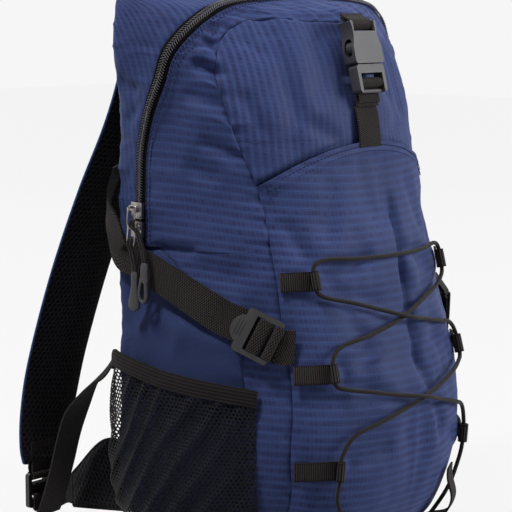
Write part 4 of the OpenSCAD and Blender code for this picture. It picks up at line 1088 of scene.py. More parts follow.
def crossed(a, b):
    """Two grids of the shares across and the shares up."""
    return np.meshgrid(a, b, indexing="ij")


def grid(n, m, edge_u=.006, edge_v=.006):
    """Shares across and up a panel, with extra rows inside its edges."""
    return crossed(steps(n, edge_u), steps(m, edge_v))


# Where the ripstop of the side ends and its twill begins: height and depth
STRIP_EDGE = [[0, -60], [150, -60], [168, -57], [185, -48], [205, -29], [225, -4], [238, 16], [241, 24]]


def side_place(n, edge_u):
    """Shares across the side, its heights, and its turns at the front seam and at the edge of its ripstop."""
    u, v = grid(n, 90, edge_u, .005)
    z = mix(Z_FLOOR, SIDE_TOP, v)
    return u, z, turn_x(seam_x(z) + EDGE, z), turn_y(curve(z, STRIP_EDGE), z)


class DAYPACK_OT_body(bpy.types.Operator):
    """Base, back, side and front cloth of the pack"""
    bl_idname = "daypack.body"
    bl_label = "Body cloth"

    def execute(self, context):
        u, v = grid(70, 70)
        z = mix(Z_FLOOR, FOLD_Z - 1, v)
        room = 13*np.sin(np.pi*u)*curve(v, [[0, 0], [.25, .8], [.6, 1], [.86, .3], [.95, 0], [1, 0]])
        front = cloth("front_lining", turn_x((2*u - 1)*(seam_x(z) - EDGE), z), z, ripstop(True), pucker=.3,
                      lift=-room - 3*step(0, .03, v)*(1 - step(.95, 1, v)), roll=(1, 1, 1, 0), slot="ripstop")
        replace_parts(front, "front_lower_panel")

        # The side is cut from plain cloth, with a strip of ripstop in front of it that widens into the gusset
        for side, word in SIDES:
            u, z, seam, edge = side_place(60, .01)
            rear = cloth(f"{word}_side_cloth", *hand(side, mix(edge - .02, BACK_SEAM + .03, u), z), twill(),
                         pucker=1.1, slot="twill")
            u, z, seam, edge = side_place(26, .03)
            strip = cloth(f"{word}_side_strip", *hand(side, mix(seam, edge + .02, u), z), ripstop(), pucker=1.1,
                          roll=(1, 1, 1, 0), slot="ripstop")
            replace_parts(rear, f"{word}_side_panel")
            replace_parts(strip, f"{word}_side_panel")

        u, v = grid(60, 80)
        z = mix(Z_FLOOR, TOP_Z, 1 - (1 - v)**1.6)
        turn = mix(BACK_SEAM - .03, 360 - BACK_SEAM + .03, u)
        back = cloth("back_cloth", turn, z, twill(), pucker=.3, slot="twill", uv=pairs(surf(turn, z)[..., 0], z))
        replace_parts(back, "back_panel")

        # The base is a square grid drawn out to the outline of the foot, round a point at BASE_MID
        s, t = crossed(np.linspace(-1, 1, 41), np.linspace(-1, 1, 41))
        dx, dy = s*np.sqrt(1 - t*t/2), -t*np.sqrt(1 - s*s/2)
        edge = surf(np.degrees(np.arctan2(dx, -dy)), np.zeros_like(dx))
        foot = np.hypot(dx, dy)[..., None]*(edge - BASE_MID) + BASE_MID
        lift = np.stack([0*s, 0*s, .35 + .35*noise(foot, 30, 4)], -1)
        inside = (1 - np.maximum(np.abs(s), np.abs(t))**8)[..., None]
        base = slab("base_cloth", foot + lift*inside, foot + [0, 0, CLOTH_T], twill(), foot[..., :2], slot="twill")
        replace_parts(base, "base_panel")
        return {"FINISHED"}


def near_tabs(p):
    """1 at the cord tabs, and falling to 0 within a centimetre of them."""
    way = [((np.abs(p[..., 0]) - TAB_X - 2)/9)**2 + ((p[..., 2] - h)/10)**2 for h in TAB_Z]
    return np.exp(-np.min(way, axis=0)**2)


class DAYPACK_OT_pocket(bpy.types.Operator):
    """Front pocket with its curved double-stitched hem"""
    bl_idname = "daypack.pocket"
    bl_label = "Front pocket"

    def execute(self, context):
        u, v = grid(100, 110, .006, .004)
        k = 2*u - 1
        z = mix(8, HEM_Z - HEM_DROP*k*k, v)
        x = k*(seam_x(z) - EDGE)

        def drape(p, z):
            top = HEM_Z - HEM_DROP*(x/seam_x(z))**2 - z
            hem = .8*(1 - step(8.5, 9.6, top)) - sum(.5*np.exp(-((top - d)/.8)**2) for d in HEM_ROWS)
            return hem - 1.6*np.exp(-((seam_x(z) - np.abs(x))/5)**2)*(1 - near_tabs(p))
        pocket = cloth("front_pocket_cloth", turn_x(x, z), z, ripstop(), lift=POCKET_OFF, pucker=1.1,
                       roll=(1, 1, 1, 0), extra=drape, hold=near_tabs, slot="ripstop")
        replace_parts(pocket, "front_pocket")
        k = np.linspace(-.97, .97, 120)
        for i, down in enumerate(HEM_ROWS):
            z = HEM_Z - HEM_DROP*k*k - down
            turn = turn_x(k*(seam_x(z) - SEAM_GAP), z)
            p = surf(turn, z)
            sewn(f"hem_stitches_{i + 1}", turn, z, POCKET_OFF + kept_low(settle(p) + folds(p)) + .6)
        return {"FINISHED"}


def beside_zip(w, d):
    """Line d to the front of the zip, or behind it where d is negative."""
    return beside(*zip_run(w), np.full(len(w), d))


def between(a, b, n, reach=1.0):
    """Grid of turns and heights from one line to another, which the turns overshoot by reach."""
    v = steps(n, .012)[None, :]
    return mix(a[0][:, None], b[0][:, None], v*reach), mix(a[1][:, None], b[1][:, None], v)


class DAYPACK_OT_hood(bpy.types.Operator):
    """Upper front, hood gusset and the cloth behind the zip"""
    bl_idname = "daypack.hood"
    bl_label = "Hood"

    def execute(self, context):
        u, v = grid(90, 80)
        k = 2*u - 1
        x = k*(seam_x(mix(FOLD_Z, CORNER_Z, v)) - EDGE)
        z = mix(UPPER_LOW_Z, PACK_H*curve(np.abs(x)/FRONT_HALF_W, SEAM_TOP) - .2, v)
        x = k*(seam_x(np.minimum(z, CORNER_Z)) - EDGE)
        front = cloth("upper_front_cloth", turn_x(x, z), z, ripstop(True), pucker=1.1, roll=(1, 1, 0, 1),
                      lift=-3.5*(1 - step(-3, 5, z - HEM_Z + HEM_DROP*k*k)), slot="ripstop", body=None)
        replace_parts(front, "flap_panel")
        fold_blend(front)

        w = np.concatenate([np.linspace(-2, -1, 90)[:-1], np.linspace(-1, 1, 360), np.linspace(1, 2, 90)[1:]])
        seam = with_legs(w, seam_line, lambda z: turn_x(seam_x(z), z), FOLD_Z, SIDE_TOP)
        seam = beside(*seam, np.full(len(w), -EDGE))
        gusset = cloth("hood_gusset_cloth", *between(seam, beside_zip(w, ZIP_FRONT_EDGE), 40), ripstop(),
                       pucker=1.5, roll=(0, 0, 1, 1), calm=(0, 0, 0, 1), slot="ripstop", body=None)
        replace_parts(gusset, "flap_gusset", "left_side_gusset", "right_side_gusset")
        fold_blend(gusset)

        back = with_legs(w, back_line, lambda z: BACK_SEAM, JOIN_Z, SHELL_LOW_Z)
        strip = between(beside_zip(w, -ZIP_REAR_EDGE), back, 26, 1.0005)
        rear = cloth("rear_gusset_cloth", *strip, ripstop(True), pucker=1.5, roll=(0, 0, 1, 1),
                     calm=(0, 0, 1, 0), slot="ripstop")
        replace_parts(rear, "rear_gusset")
        for word, *span, body in (("left", -2, -1, 60, "pack"), ("arch", -1, 1, 220, "flap"),
                                  ("right", 1, 2, 60, "pack")):
            for i, d in enumerate((ZIP_FRONT_EDGE + 2, ZIP_FRONT_EDGE + 5.2)):
                turn, z = beside_zip(np.linspace(*span), d)
                sewn(f"zip_stitches_{word}_{i + 1}", turn, z, np.full(len(turn), -.15), body=body)
        return {"FINISHED"}


def with_legs(w, arch, leg, top, foot):
    """Line over the arch with its two legs: w from -2 at the lower left end to 2 at the lower right end."""
    turn, z = arch(np.clip(w, -1, 1))
    low = mix(top, foot, np.clip(np.abs(w) - 1, 0, 1))
    on = np.abs(w) > 1
    return np.where(on, np.sign(w)*leg(low), turn), np.where(on, low, z)


def zip_run(w):
    """Zip with its legs."""
    return with_legs(w, zip_line, lambda z: turn_y(zip_y(z), z), JOIN_Z, SHELL_LOW_Z)


# ---- zip
# Section of a zip tape: the distance from the zip's middle, and the height
TAPE_SECTION = [[.3, 1.2, 2.2, 2.7, 3.4, 4.4, 5.4, 6.4], [-.2, 0, 0, -.2, -.3, -.6, -1.2, -1.9]]
# One loop of the coil, from its root to its head: reach from the middle, rise, lean along the zip, and radius
COIL_LOOP = [[2.6, 2.35, 1.4, .2, -.5], [.1, .95, 1.35, 1.2, .8], [-.9, -.8, -.1, .7, .95],
             [.5, .55, .56, .56, .42]]


def tape(name, w, side, body):
    """Woven tape beside the zip line: flat, with a fine selvage, and a raised cord under the coil."""
    d, h = np.array(TAPE_SECTION)
    turn, z = (np.stack(c, 1) for c in zip(*[beside_zip(w, side*k) for k in d]))
    uv = pairs(side*d, lengths(surf(turn, z)[:, 0])[:, None])
    a, b = skin(turn, z, h), skin(turn, z, h - .9)
    if side < 0:
        a, b, uv = a[:, ::-1], b[:, ::-1], uv[:, ::-1]
    return slab(name, a, b, zip_tape(), uv, body=body, slot="zip_tape")


def coil(name, w, side, body, pitch):
    """Row of coil loops on one side of the zip: each rises from the tape, arches over to the middle and leans
    along the zip, so that the two rows mesh in a chevron."""
    turn, z = zip_run(w)
    centre, out = skin(turn, z, .2), out_of(turn, z)
    s = lengths(centre)
    lead = lengths(skin(*zip_run(np.linspace(-2, w[0], 300)), .2))[-1]
    at = np.arange((pitch/2*(side > 0) - lead) % pitch, s[-1], pitch)
    c, o = pick(centre, s, at), unit(pick(out, s, at))
    a = unit(pick(centre, s, at + .5) - pick(centre, s, at - .5))
    b = np.cross(a, o)*side
    reach, rise, lean, radius = np.array(COIL_LOOP)[..., None]
    q = np.linspace(0, 2*np.pi, 7)[:-1, None]
    mid = c[:, None] + b[:, None]*reach + o[:, None]*rise + a[:, None]*lean
    d = unit(np.gradient(mid, axis=1))
    e = unit(np.cross(d, o[:, None]))
    f = np.cross(e, d)
    ring = mid[:, :, None] + radius[..., None]*(np.cos(q)*e[:, :, None]*.82 + np.sin(q)*f[:, :, None])
    n, k, sides = ring.shape[:3]
    cap = np.array([[0, 1, 2, 3], [0, 3, 4, 5]])
    one = np.concatenate([quads(k - 1, sides, 0, False, True), cap, cap[:, ::-1] + (k - 1)*sides])
    plastic = moulded("Coil", "#55535a", "#2b2a2e", .3)
    return outwards(make(name, ring, copies(one, n, k*sides), plastic, body=body, slot="zip_tape", smooth=70))


class DAYPACK_OT_zip(bpy.types.Operator):
    """Zip tapes and coil round the hood"""
    bl_idname = "daypack.zip"
    bl_label = "Zip"

    def execute(self, context):
        leg, arch = np.linspace(-2, -1, 60), np.linspace(-1, 1, 260)
        whole_run = np.concatenate([leg[:-1], arch, -leg[::-1][1:]])
        rows = (("rear", whole_run, -1, "pack", "zip_rear_tape"), ("flap", arch, 1, "flap", "zip_flap_tape"),
                ("low_left", leg, 1, "pack", "zip_lower_tapes"),
                ("low_right", -leg[::-1], 1, "pack", "zip_lower_tapes"))
        for word, w, side, body, node in rows:
            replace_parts(tape(f"zip_tape_{word}", w, side, body), node)
        for word, w, side, body, node in rows:
            coil(f"zip_coil_{word}", w, side, body, context.scene.daypack_trim.tooth/MM)
        return {"FINISHED"}


# ---- webbing
def laid(name, turn, z, lift, width, material, **rest):
    """Webbing laid along a line on the body, its width across the line and along the surface."""
    p = skin(turn, z, lift)
    across = np.cross(unit(np.gradient(p, axis=0)), out_of(turn, z))
    return band(name, p, across, width, WEB_T, material, slot="webbing", **rest)


def resample(points, n):
    """n points at equal distances along a path."""
    s = lengths(points)
    return pick(points, s, np.linspace(0, s[-1], n))


# End of the compression strap behind the net: turn, height and lift
STRAP_TAIL = np.array([[124, 252, 6.5], [128.5, 264, 8], [131.5, 278, 6], [132.6, 290, 2.2], [132.8, 297, .9]])


class DAYPACK_OT_webbing(bpy.types.Operator):
    """Side compression straps"""
    bl_idname = "daypack.webbing"
    bl_label = "Compression straps"

    def execute(self, context):
        y = np.linspace(-43, 57, 60)
        z = curve(y, COMPRESSION)
        lift = WEB_GAP + WEB_T/2 + 2.5*np.sin(np.pi*np.clip((57 - y)/16, 0, 1))
        run = np.stack([turn_y(y, z), z, lift], -1)
        low = place(FIT["lock"], [[0, 3, -1.9], [0, 10, -1.7], [0, 17, -1.6]])
        t = turn_y(low[:, 1], low[:, 2])
        under = np.stack([t, low[:, 2], ((low - surf(t, low[:, 2]))*out_of(t, low[:, 2])).sum(-1)], -1)
        path = resample(smooth_path(np.concatenate([under, run[::6], STRAP_TAIL]), 6), 130)
        for side, word in SIDES:
            strap = laid(f"{word}_compression_strap", *path.T, WEB_W*1.02, webbing(), side=side)
            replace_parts(strap, f"{word}_compression_webbing")
        return {"FINISHED"}


# ---- side pockets
def mesh_place(u, v, binding):
    """Place on the side pocket, or on its binding, of shares across and up: turn, height and standing off."""
    top = mix(143, 162, u**.8) - 7*step(.9, 1, u)
    z = top - 12*(1 - v) if binding else mix(Z_FLOOR, top - 12.4, v)
    w = .93 + .07*v if binding else v*.93
    off = WEB_GAP + 18*np.sin(np.pi*u)**.7*curve(w, [[0, 0], [.28, 1], [.7, .85], [1, .38]])
    start = np.maximum(turn_y(-70, z), turn_x(seam_x(z) + 1.5, z))
    return mix(start, BACK_SEAM - 1, u), z, off


class DAYPACK_OT_side_pockets(bpy.types.Operator):
    """Stretch net pockets with pleats and an elastic binding"""
    bl_idname = "daypack.side_pockets"
    bl_label = "Side pockets"

    def execute(self, context):
        for side, word in SIDES:
            u, v = crossed(np.linspace(0, 1, 120), np.linspace(0, 1, 100))
            turn, z, off = mesh_place(u, v, False)
            p, uv = surf(turn, z), cloth_uv(turn, z)
            slant = uv[..., 0]*.88 + uv[..., 1]*.47
            pleat = np.sin(slant/2.7 + 1.6*noise(p, 34, 21) + .9*noise(p, 70, 23))*.5 + .5
            deep = (3.4 + 1.4*noise(p, 30, 24))*(pleat**2 - .4)
            bow = np.sin(np.pi*u)
            d = off + deep*np.maximum(bow, 0)**.5*step(0, .12, v) + .6*noise(p, 22, 22)*bow
            turn, z, d, uv = hand(side, turn, z, d, uv*[side, 1])
            q = slab(f"{word}_pocket_net", skin(turn, z, d + .5), skin(turn, z, d), net(), uv, slot="mesh")
            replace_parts(q, f"{word}_mesh_pocket")
            u, v = crossed(np.linspace(0, 1, 90), np.linspace(0, 1, 9))
            turn, z, off = mesh_place(u, v, True)
            d = off + (.5*np.sin(np.pi*v)**.5 + .35*noise(surf(turn, z), 6, 31))
            uv = pairs(cloth_uv(turn, z)[..., 0], v*12)
            turn, z, d, uv = hand(side, turn, z, d, uv*[side, 1])
            q = slab(f"{word}_pocket_binding", skin(turn, z, d + 1.8), skin(turn, z, d), elastic(), uv,
                     slot="elastic")
            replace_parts(q, "pocket_elastics")
        return {"FINISHED"}


# ---- shoulder straps, pads and belt
def pad(name, path, across, width, thick, materials, slot):
    """Padded band: its faces bulge as a rounded box of power 4 across the width, it has one material on each
    face, and its two rims are piped."""
    k = np.sin(np.linspace(-np.pi/2, np.pi/2, 17))/2
    mid, face, uv = lanes(path, across, width, k)
    s = lengths(path)
    ends = np.minimum(1, (np.minimum(s, s[-1] - s)/6 + .25))**.5
    up = face[:, None]*(thick/2*(1 - (2*np.abs(k))**4*.72)[None, :]*ends[:, None])[..., None]
    piece = slab(name, mid - up, mid + up, materials[0], uv, smooth=60, slot=slot)
    piece.data.materials.append(materials[1])
    n, m = mid.shape[0] - 1, mid.shape[1] - 1
    which = np.zeros(len(piece.data.polygons), dtype=np.int32)
    which[n*m:2*n*m] = np.tile((np.abs(k[:-1] + k[1:]) < .7), n)
    piece.data.polygons.foreach_set("material_index", which)
    for end, at in (("a", mid[1:-1, 0]), ("b", mid[1:-1, -1])):
        tube(f"{name}_rim_{end}", at, 1.1, ripstop(), 8, slot=slot)
    return piece


class DAYPACK_OT_straps(bpy.types.Operator):
    """Shoulder straps of spacer mesh with piped rims"""
    bl_idname = "daypack.straps"
    bl_label = "Shoulder straps"

    def execute(self, context):
        x, off, z, share = np.array(STRAP).T
        path = smooth_path(np.stack([x, back_y(z) + STRAP_T/2 + off, z], -1), 10)
        wide = smooth_path(share[:, None], 10)[:, 0]*STRAP_W
        for side, word in SIDES:
            strap = pad(f"{word}_shoulder_pad", path*[side, 1, 1], [1, 0, 0], wide - 2, STRAP_T - 1.5,
                        (air_mesh(), twill()), "air_mesh")
            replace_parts(strap, f"{word}_shoulder_strap")
        return {"FINISHED"}


# ---- places of the hardware
def seat(at, out, up):
    """Local frame of a fitting: its origin, and its axes across, along and outwards."""
    at, o, up = (np.asarray(v, float) for v in (at, out, up))
    o = unit(o)
    up = unit(up - (up@o)*o)
    return at, np.cross(up, o), up, o


def place(seated, p):
    """Points of a local frame in the frame of the object."""
    p = np.asarray(p, float)
    return seated[0] + p[..., :1]*seated[1] + p[..., 1:2]*seated[2] + p[..., 2:3]*seated[3]


def side_point(y, d):
    """Point of the compression strap's line, d outside the body, with its outward direction."""
    z = curve(level(y), COMPRESSION)
    t = turn_y(level(y), z)
    return skin(t, z, level(d))[0], out_of(t, z)[0]


def fittings():
    """Frames of the two buckles, the side locks, the strap locks and the two zip sliders."""
    def on_zip(z):
        """Point of the left zip line at a height."""
        return skin(-turn_y(zip_y(level(z)), level(z)), level(z))[0]
    lock, out = side_point(-66, WEB_GAP + WEB_T + 1.6)
    end = np.array([STRAP[-1][0], back_y(level(50))[0] + STRAP_T/2 + STRAP[-1][1], 50])
    out_zip = out_of(-turn_y(zip_y(level(SLIDER_Z[0])), level(SLIDER_Z[0])), level(SLIDER_Z[0]))[0]
    upper, lower = (seat(on_zip(z), out_zip, on_zip(301) - on_zip(SLIDER_Z[0])) for z in SLIDER_Z)
    top = level(370)
    up = surf(0, top + 20)[0] - surf(0, top - 20)[0]
    return {"buckle": seat(skin(0, top, 1.5)[0], out_of(level(0), top)[0], up),
            "lock": seat(lock, out, side_point(-57, 0)[0] - side_point(-75, 0)[0]),
            "strap_lock": seat(end + [1, -2, -19.4], [0, 1, 0], [0, 0, -1]),
            "hip_buckle": seat([8, 203, 1.4], [0, 0, 1], [-1, 0, 0]), "upper_slider": upper, "lower_slider": lower}


FIT = fittings()
# Webbing round the bars of a buckle's plug and of a ladder lock: along and outwards
PLUG_WEB = [[-30.5, .9], [-24, .9], [-13.4, .9], [-11.3, 1.7], [-10.6, 3.6], [-10.8, 6.2], [-11.9, 8.3],
            [-13.8, 9.05], [-15.7, 8.3], [-16.8, 6.2], [-17.3, 4.4], [-19.3, 3.2], [-22, 3.0], [-28, 3.1]]
LOCK_WEB = [[15, -1.5], [9, -1.5], [4, -1.5], [2.5, -.8], [2.2, .8], [2.2, 3.4], [1.2, 5.0], [-2, 5.5], [-5.2, 5.0],
            [-6.4, 3.4], [-6.5, .6], [-6.7, -1.2], [-7.9, -2.3]]


def arc(y, z, start, end):
    """Local points of a turn of webbing round a bar."""
    a = np.radians(np.linspace(start, end, 14))
    return pairs(y + BAR_R*np.cos(a), z + BAR_R*np.sin(a))


def threaded(name, seated, yz, k=4, **rest):
    """Webbing through a fitting: a path in its middle plane, given as local [along, outwards] points."""
    yz = np.asarray(yz, float)
    local = smooth_path(np.stack([0*yz[:, 0], yz[:, 0], yz[:, 1]], -1), k)
    return band(name, place(seated, local), seated[1], WEB_W, WEB_T, webbing(), slot="webbing", **rest)


class DAYPACK_OT_fitting_webbing(bpy.types.Operator):
    """Webbing through the buckles and ladder locks, with its sewn loops"""
    bl_idname = "daypack.fitting_webbing"
    bl_label = "Webbing in the fittings"

    def execute(self, context):
        lock, strap_lock = FIT["lock"], FIT["strap_lock"]
        top = [[39, .8], [37, 2.2], [35, 5.0], [32.6, 7.9], *arc(29.6, 5.5, 62, 300), [33.2, 3.0], [36.4, .4]]
        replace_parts(threaded("top_strap_loop", FIT["buckle"], top, 2, body="flap"), "top_strap")
        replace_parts(threaded("top_plug_strap", FIT["buckle"], PLUG_WEB, body="top_plug"), "top_buckle_webbing")
        z = np.linspace(311, 341.5, 26)
        lift = WEB_GAP + WEB_T/2 - .9*step(337, 341, z) + .5*np.sin((z - 311)/9)
        run = laid("top_strap_run", 0*z, z, lift, WEB_W, webbing(), body=None)
        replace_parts(run, "top_webbing_run")
        fold_blend(run)
        ring = [[0, -13 + BAR_R*np.sin(a), 2 - BAR_R*np.cos(a)] for a in np.radians(np.arange(240, -25, -16))]
        land = place(lock, [0, -24, 0])
        foot = skin(turn_y(level(land[1]), level(land[2])), level(land[2] + 1), 4.2)
        anchor = smooth_path(np.concatenate([place(lock, ring + [[0, -17.6, .2]]), foot]), 3)
        tongue = [[-40, 3.4], [-26, 3.4], [-19, 4.3], *arc(-13, 2, 150, -150), [-19, .2], [-26, .8], [-40, .8]]
        for side, word in SIDES:
            q = threaded(f"{word}_lock_thread", lock, LOCK_WEB, side=side, body=f"{word}_side_lock")
            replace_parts(q, f"{word}_lock_webbing")
            q = threaded(f"{word}_strap_lock_thread", strap_lock, LOCK_WEB, side=side,
                         body=f"{word}_shoulder_lock")
            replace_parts(q, f"{word}_strap_thread")
            q = band(f"{word}_lock_anchor", anchor, lock[1], WEB_W, WEB_T, webbing(), side=side, slot="webbing")
            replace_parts(q, "side_anchor_webbing")
            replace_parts(threaded(f"{word}_strap_tongue", strap_lock, tongue, 2, side=side), "strap_anchor_webbing")
        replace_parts(threaded("hip_plug_strap", FIT["hip_buckle"], PLUG_WEB, body="hip_plug"), "hip_plug_webbing")
        return {"FINISHED"}


# Bow of the lower strap: share of its way and how far it hangs out
BOW = [[.07, 3.5], [.2, 11], [.36, 13.5], [.52, 11], [.69, 6], [.86, 2], [1, 0]]
# Webbing of the belt: x, y, z and its share of the turn from upright to lying flat
HIP = np.array([[84, 150, 28, 0], [84, 156, 27.9, 0], [84, 164, 25.2, 0], [83.5, 173, 20, 0], [80.5, 184, 15.6, 0],
                [74.5, 195, 14, 0], [66, 201.5, 13.6, .08], [58, 203, 11.4, .38], [50, 203, 6.2, .72],
                [45.5, 203, 3.4, .95], [43, 203, 2.8, 1]])
# Gear loop: height and standing off
GEAR = np.array([[66, .8], [58, 3], [47, 11], [36, 12], [28, 5], [24, .8]])


class DAYPACK_OT_loops(bpy.types.Operator):
    """Lower strap webbing, haul loop, gear loop and hip webbing"""
    bl_idname = "daypack.loops"
    bl_label = "Loops and belt webbing"

    def execute(self, context):
        web = webbing()
        a = skin(level(BACK_SEAM), level(148), level(WEB_GAP + 1.2 + .4))[0]
        b = FIT["strap_lock"][0] + [1, -5, -19]
        path = smooth_path([a] + [mix(a, b, s) + [0, h, h/3] for s, h in BOW], 10)
        across = smooth_path([[.72, -.69, 0]]*2 + [[.9, -.4, 0]] + [[1, 0, 0]]*5, 10)
        for side, word in SIDES:
            q = band(f"{word}_lower_strap", path, across, WEB_W, WEB_T, web, side=side, slot="webbing")
            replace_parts(q, f"{word}_lower_webbing")
        y = back_y(level(436))[0] + WEB_GAP + 1.2
        half = [[-44, y, 436], [-32, y + .5, 437], [-24, y + 6, 439], [-16, y + 21, 442]]
        path = half + [[0, y + 24, 443]] + [[-p[0], p[1], p[2]] for p in half[::-1]]
        q = band("haul_loop_webbing", smooth_path(path, 8), [0, 0, 1], 20, 2.4, web, slot="webbing")
        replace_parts(q, "haul_loop")
        z, off = GEAR.T
        p = skin(turn_x(np.full(len(z), 52.0), z), z, POCKET_OFF + WEB_GAP + off)
        q = band("gear_loop_webbing", smooth_path(p, 8), [1, .45, 0], 18, WEB_T, web, slot="webbing")
        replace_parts(q, "gear_loop")
        bar = [[21.6 - BAR_R*np.sin(t), 203, 6.9 - BAR_R*np.cos(t)] for t in np.radians(np.arange(-24, 241, 24))]
        for side, word in SIDES:
            tail = [[40.4, 203, 2.4]] if side > 0 else [[30.6, 203, 2.5], *bar]
            turn = np.append(HIP[:, 3], np.ones(len(tail)))[:, None]
            turn = np.clip(smooth_path(turn, 5), 0, 1)
            across = np.concatenate([.2*turn*(1 - turn), turn, 1.02 - turn], 1)
            path = smooth_path(np.concatenate([HIP[:, :3], tail]), 5)
            q = band(f"{word}_hip_strap", path, across, WEB_W, WEB_T, web, side=side, slot="webbing",
                     body="pack" if side < 0 else None)
            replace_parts(q, f"{word}_hip_webbing")
            if side > 0:
                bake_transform(q)
        return {"FINISHED"}


# ---- hardware
def rounded(node, material, width, body="pack"):
    """Copy of a rigid node with its loose triangles merged into flat faces and its sharp edges rounded."""
    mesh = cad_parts[node].data.copy()
    b = bmesh.new()
    b.from_mesh(mesh)
    bmesh.ops.remove_doubles(b, verts=b.verts, dist=2e-6)
    bmesh.ops.dissolve_limit(b, angle_limit=np.radians(3), verts=b.verts, edges=b.edges)
    b.to_mesh(mesh)
    b.free()
    piece = linked(node + "_moulding", mesh)
    mesh.materials.clear()
    mesh.materials.append(material)
    bevel = piece.modifiers.new("edges", "BEVEL")
    bevel.width, bevel.segments, bevel.limit_method, bevel.angle_limit = width*MM, 2, "ANGLE", np.radians(32)
    bevel.use_clamp_overlap, bevel.harden_normals = True, False
    mesh.polygons.foreach_set("use_smooth", np.ones(len(mesh.polygons), dtype=bool))
    mesh.set_sharp_from_angle(angle=np.radians(60))
    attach(piece, body)
    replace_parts(piece, node)
    return piece


def loft(name, path, across, wide, tall, material, power=2.4, sides=16, **rest):
    """Closed bar along a path whose sections are |u/wide|^n + |v/tall|^n = 1."""
    path = np.asarray(path, float)
    side, face = (k[:, None] for k in axes(path, across)[1:])
    t = np.linspace(0, 2*np.pi, sides, endpoint=False)
    c, s = np.cos(t), np.sin(t)
    r = (np.abs(c)**power + np.abs(s)**power)**(-1/power)
    wide, tall = (np.broadcast_to(np.asarray(k, float), path.shape[:1])[:, None, None] for k in (wide, tall))
    ring = path[:, None] + wide*(r*c)[:, None]*side + tall*(r*s)[:, None]*face
    n, j = len(path), np.arange(sides)
    points = np.concatenate([ring.reshape(-1, 3), path[:1], path[-1:]])
    faces = [quads(n - 1, sides, 0, False, True)] + caps(n, sides, (j + 1) % sides, j)
    return outwards(make(name, points, faces, material, smooth=60, **rest))


def join(pieces, name):
    """One object from several that ride on the same body."""
    b = bmesh.new()
    for p in pieces:
        b.from_mesh(p.data)
    first, *others = pieces
    b.to_mesh(first.data)
    b.free()
    for p in others:
        bpy.data.objects.remove(p)
    first.name = name
    return first


def fuse(piece, voxel):
    """Melts overlapping parts of a piece into one skin by a voxel remesh, then smooths it."""
    remesh = piece.modifiers.new("melt", "REMESH")
    remesh.mode, remesh.voxel_size, remesh.use_smooth_shade = "VOXEL", voxel*MM, True
    soft = piece.modifiers.new("soften", "SMOOTH")
    soft.factor, soft.iterations = .5, 6
    bpy.context.view_layer.update()
    mesh = bpy.data.meshes.new_from_object(piece.evaluated_get(bpy.context.evaluated_depsgraph_get()))
    material = piece.data.materials[0]
    piece.modifiers.clear()
    piece.data = mesh
    mesh.materials.clear()
    mesh.materials.append(material)
    return piece


class DAYPACK_OT_fittings(bpy.types.Operator):
    """Side-release buckles, ladder locks and the cord lock"""
    bl_idname = "daypack.fittings"
    bl_label = "Buckles and locks"

    def execute(self, context):
        face = moulded("Buckle plastic", "#38363c", "#28262b", .45)
        dark = moulded("Lock plastic", "#1c1b1f", "#111013", .4)
        for where, socket, plug in (("top", "flap", "top_plug"), ("hip", "pack", "hip_plug")):
            rounded(f"{where}_buckle_socket", face, .8, body=socket)
            rounded(f"{where}_buckle_plug", face, .7, body=plug)
            rounded(f"{where}_buckle_prongs", face, .4, body=plug)
        for word in ("left", "right"):
            rounded(f"{word}_compression_lock", dark, .7, body=f"{word}_side_lock")
            rounded(f"{word}_strap_lock", dark, .7, body=f"{word}_shoulder_lock")
        rounded("cord_lock_barrel", dark, .5)
        rounded("cord_lock_button", face, .4, body="cord_button")
        spring = linked("cord_lock_coil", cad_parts["cord_lock_spring"].data.copy())
        spring.data.materials.clear()
        spring.data.materials.append(steel())
        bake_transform(spring)
        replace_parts(spring, "cord_lock_spring")
        return {"FINISHED"}


# Wire loop of a pull, in the local frame of its slider
PULL_WIRE = np.array([[-3.2, 3.2, 7.7], [-3.5, 0, 8.7], [-3.6, -6, 9.2], [-3.0, -10.5, 9.5], [0, -12.2, 9.6],
                      [3.0, -10.5, 9.5], [3.6, -6, 9.2], [3.5, 0, 8.7], [3.2, 3.2, 7.7], [0, 4.2, 7.5],
                      [-3.2, 3.2, 7.7]])


# Sliders: bodies of the slider and its pull, x and y of the grip's upper end, x of the knot on the wire, and
# the way of the cords. The upper cords lead aside from the corner of their loop, clear of the lower pull.
PULLS = (("upper", "zip_slider", "zip_pull", 14.5, -36, 2.4, ((7.5, -14, 10.2), (11, -22, 9.7))),
         ("lower", "pack", "low_pull", 4.5, -30, 0, ((1.1, -14, 10.0), (3.2, -22, 9.6))))


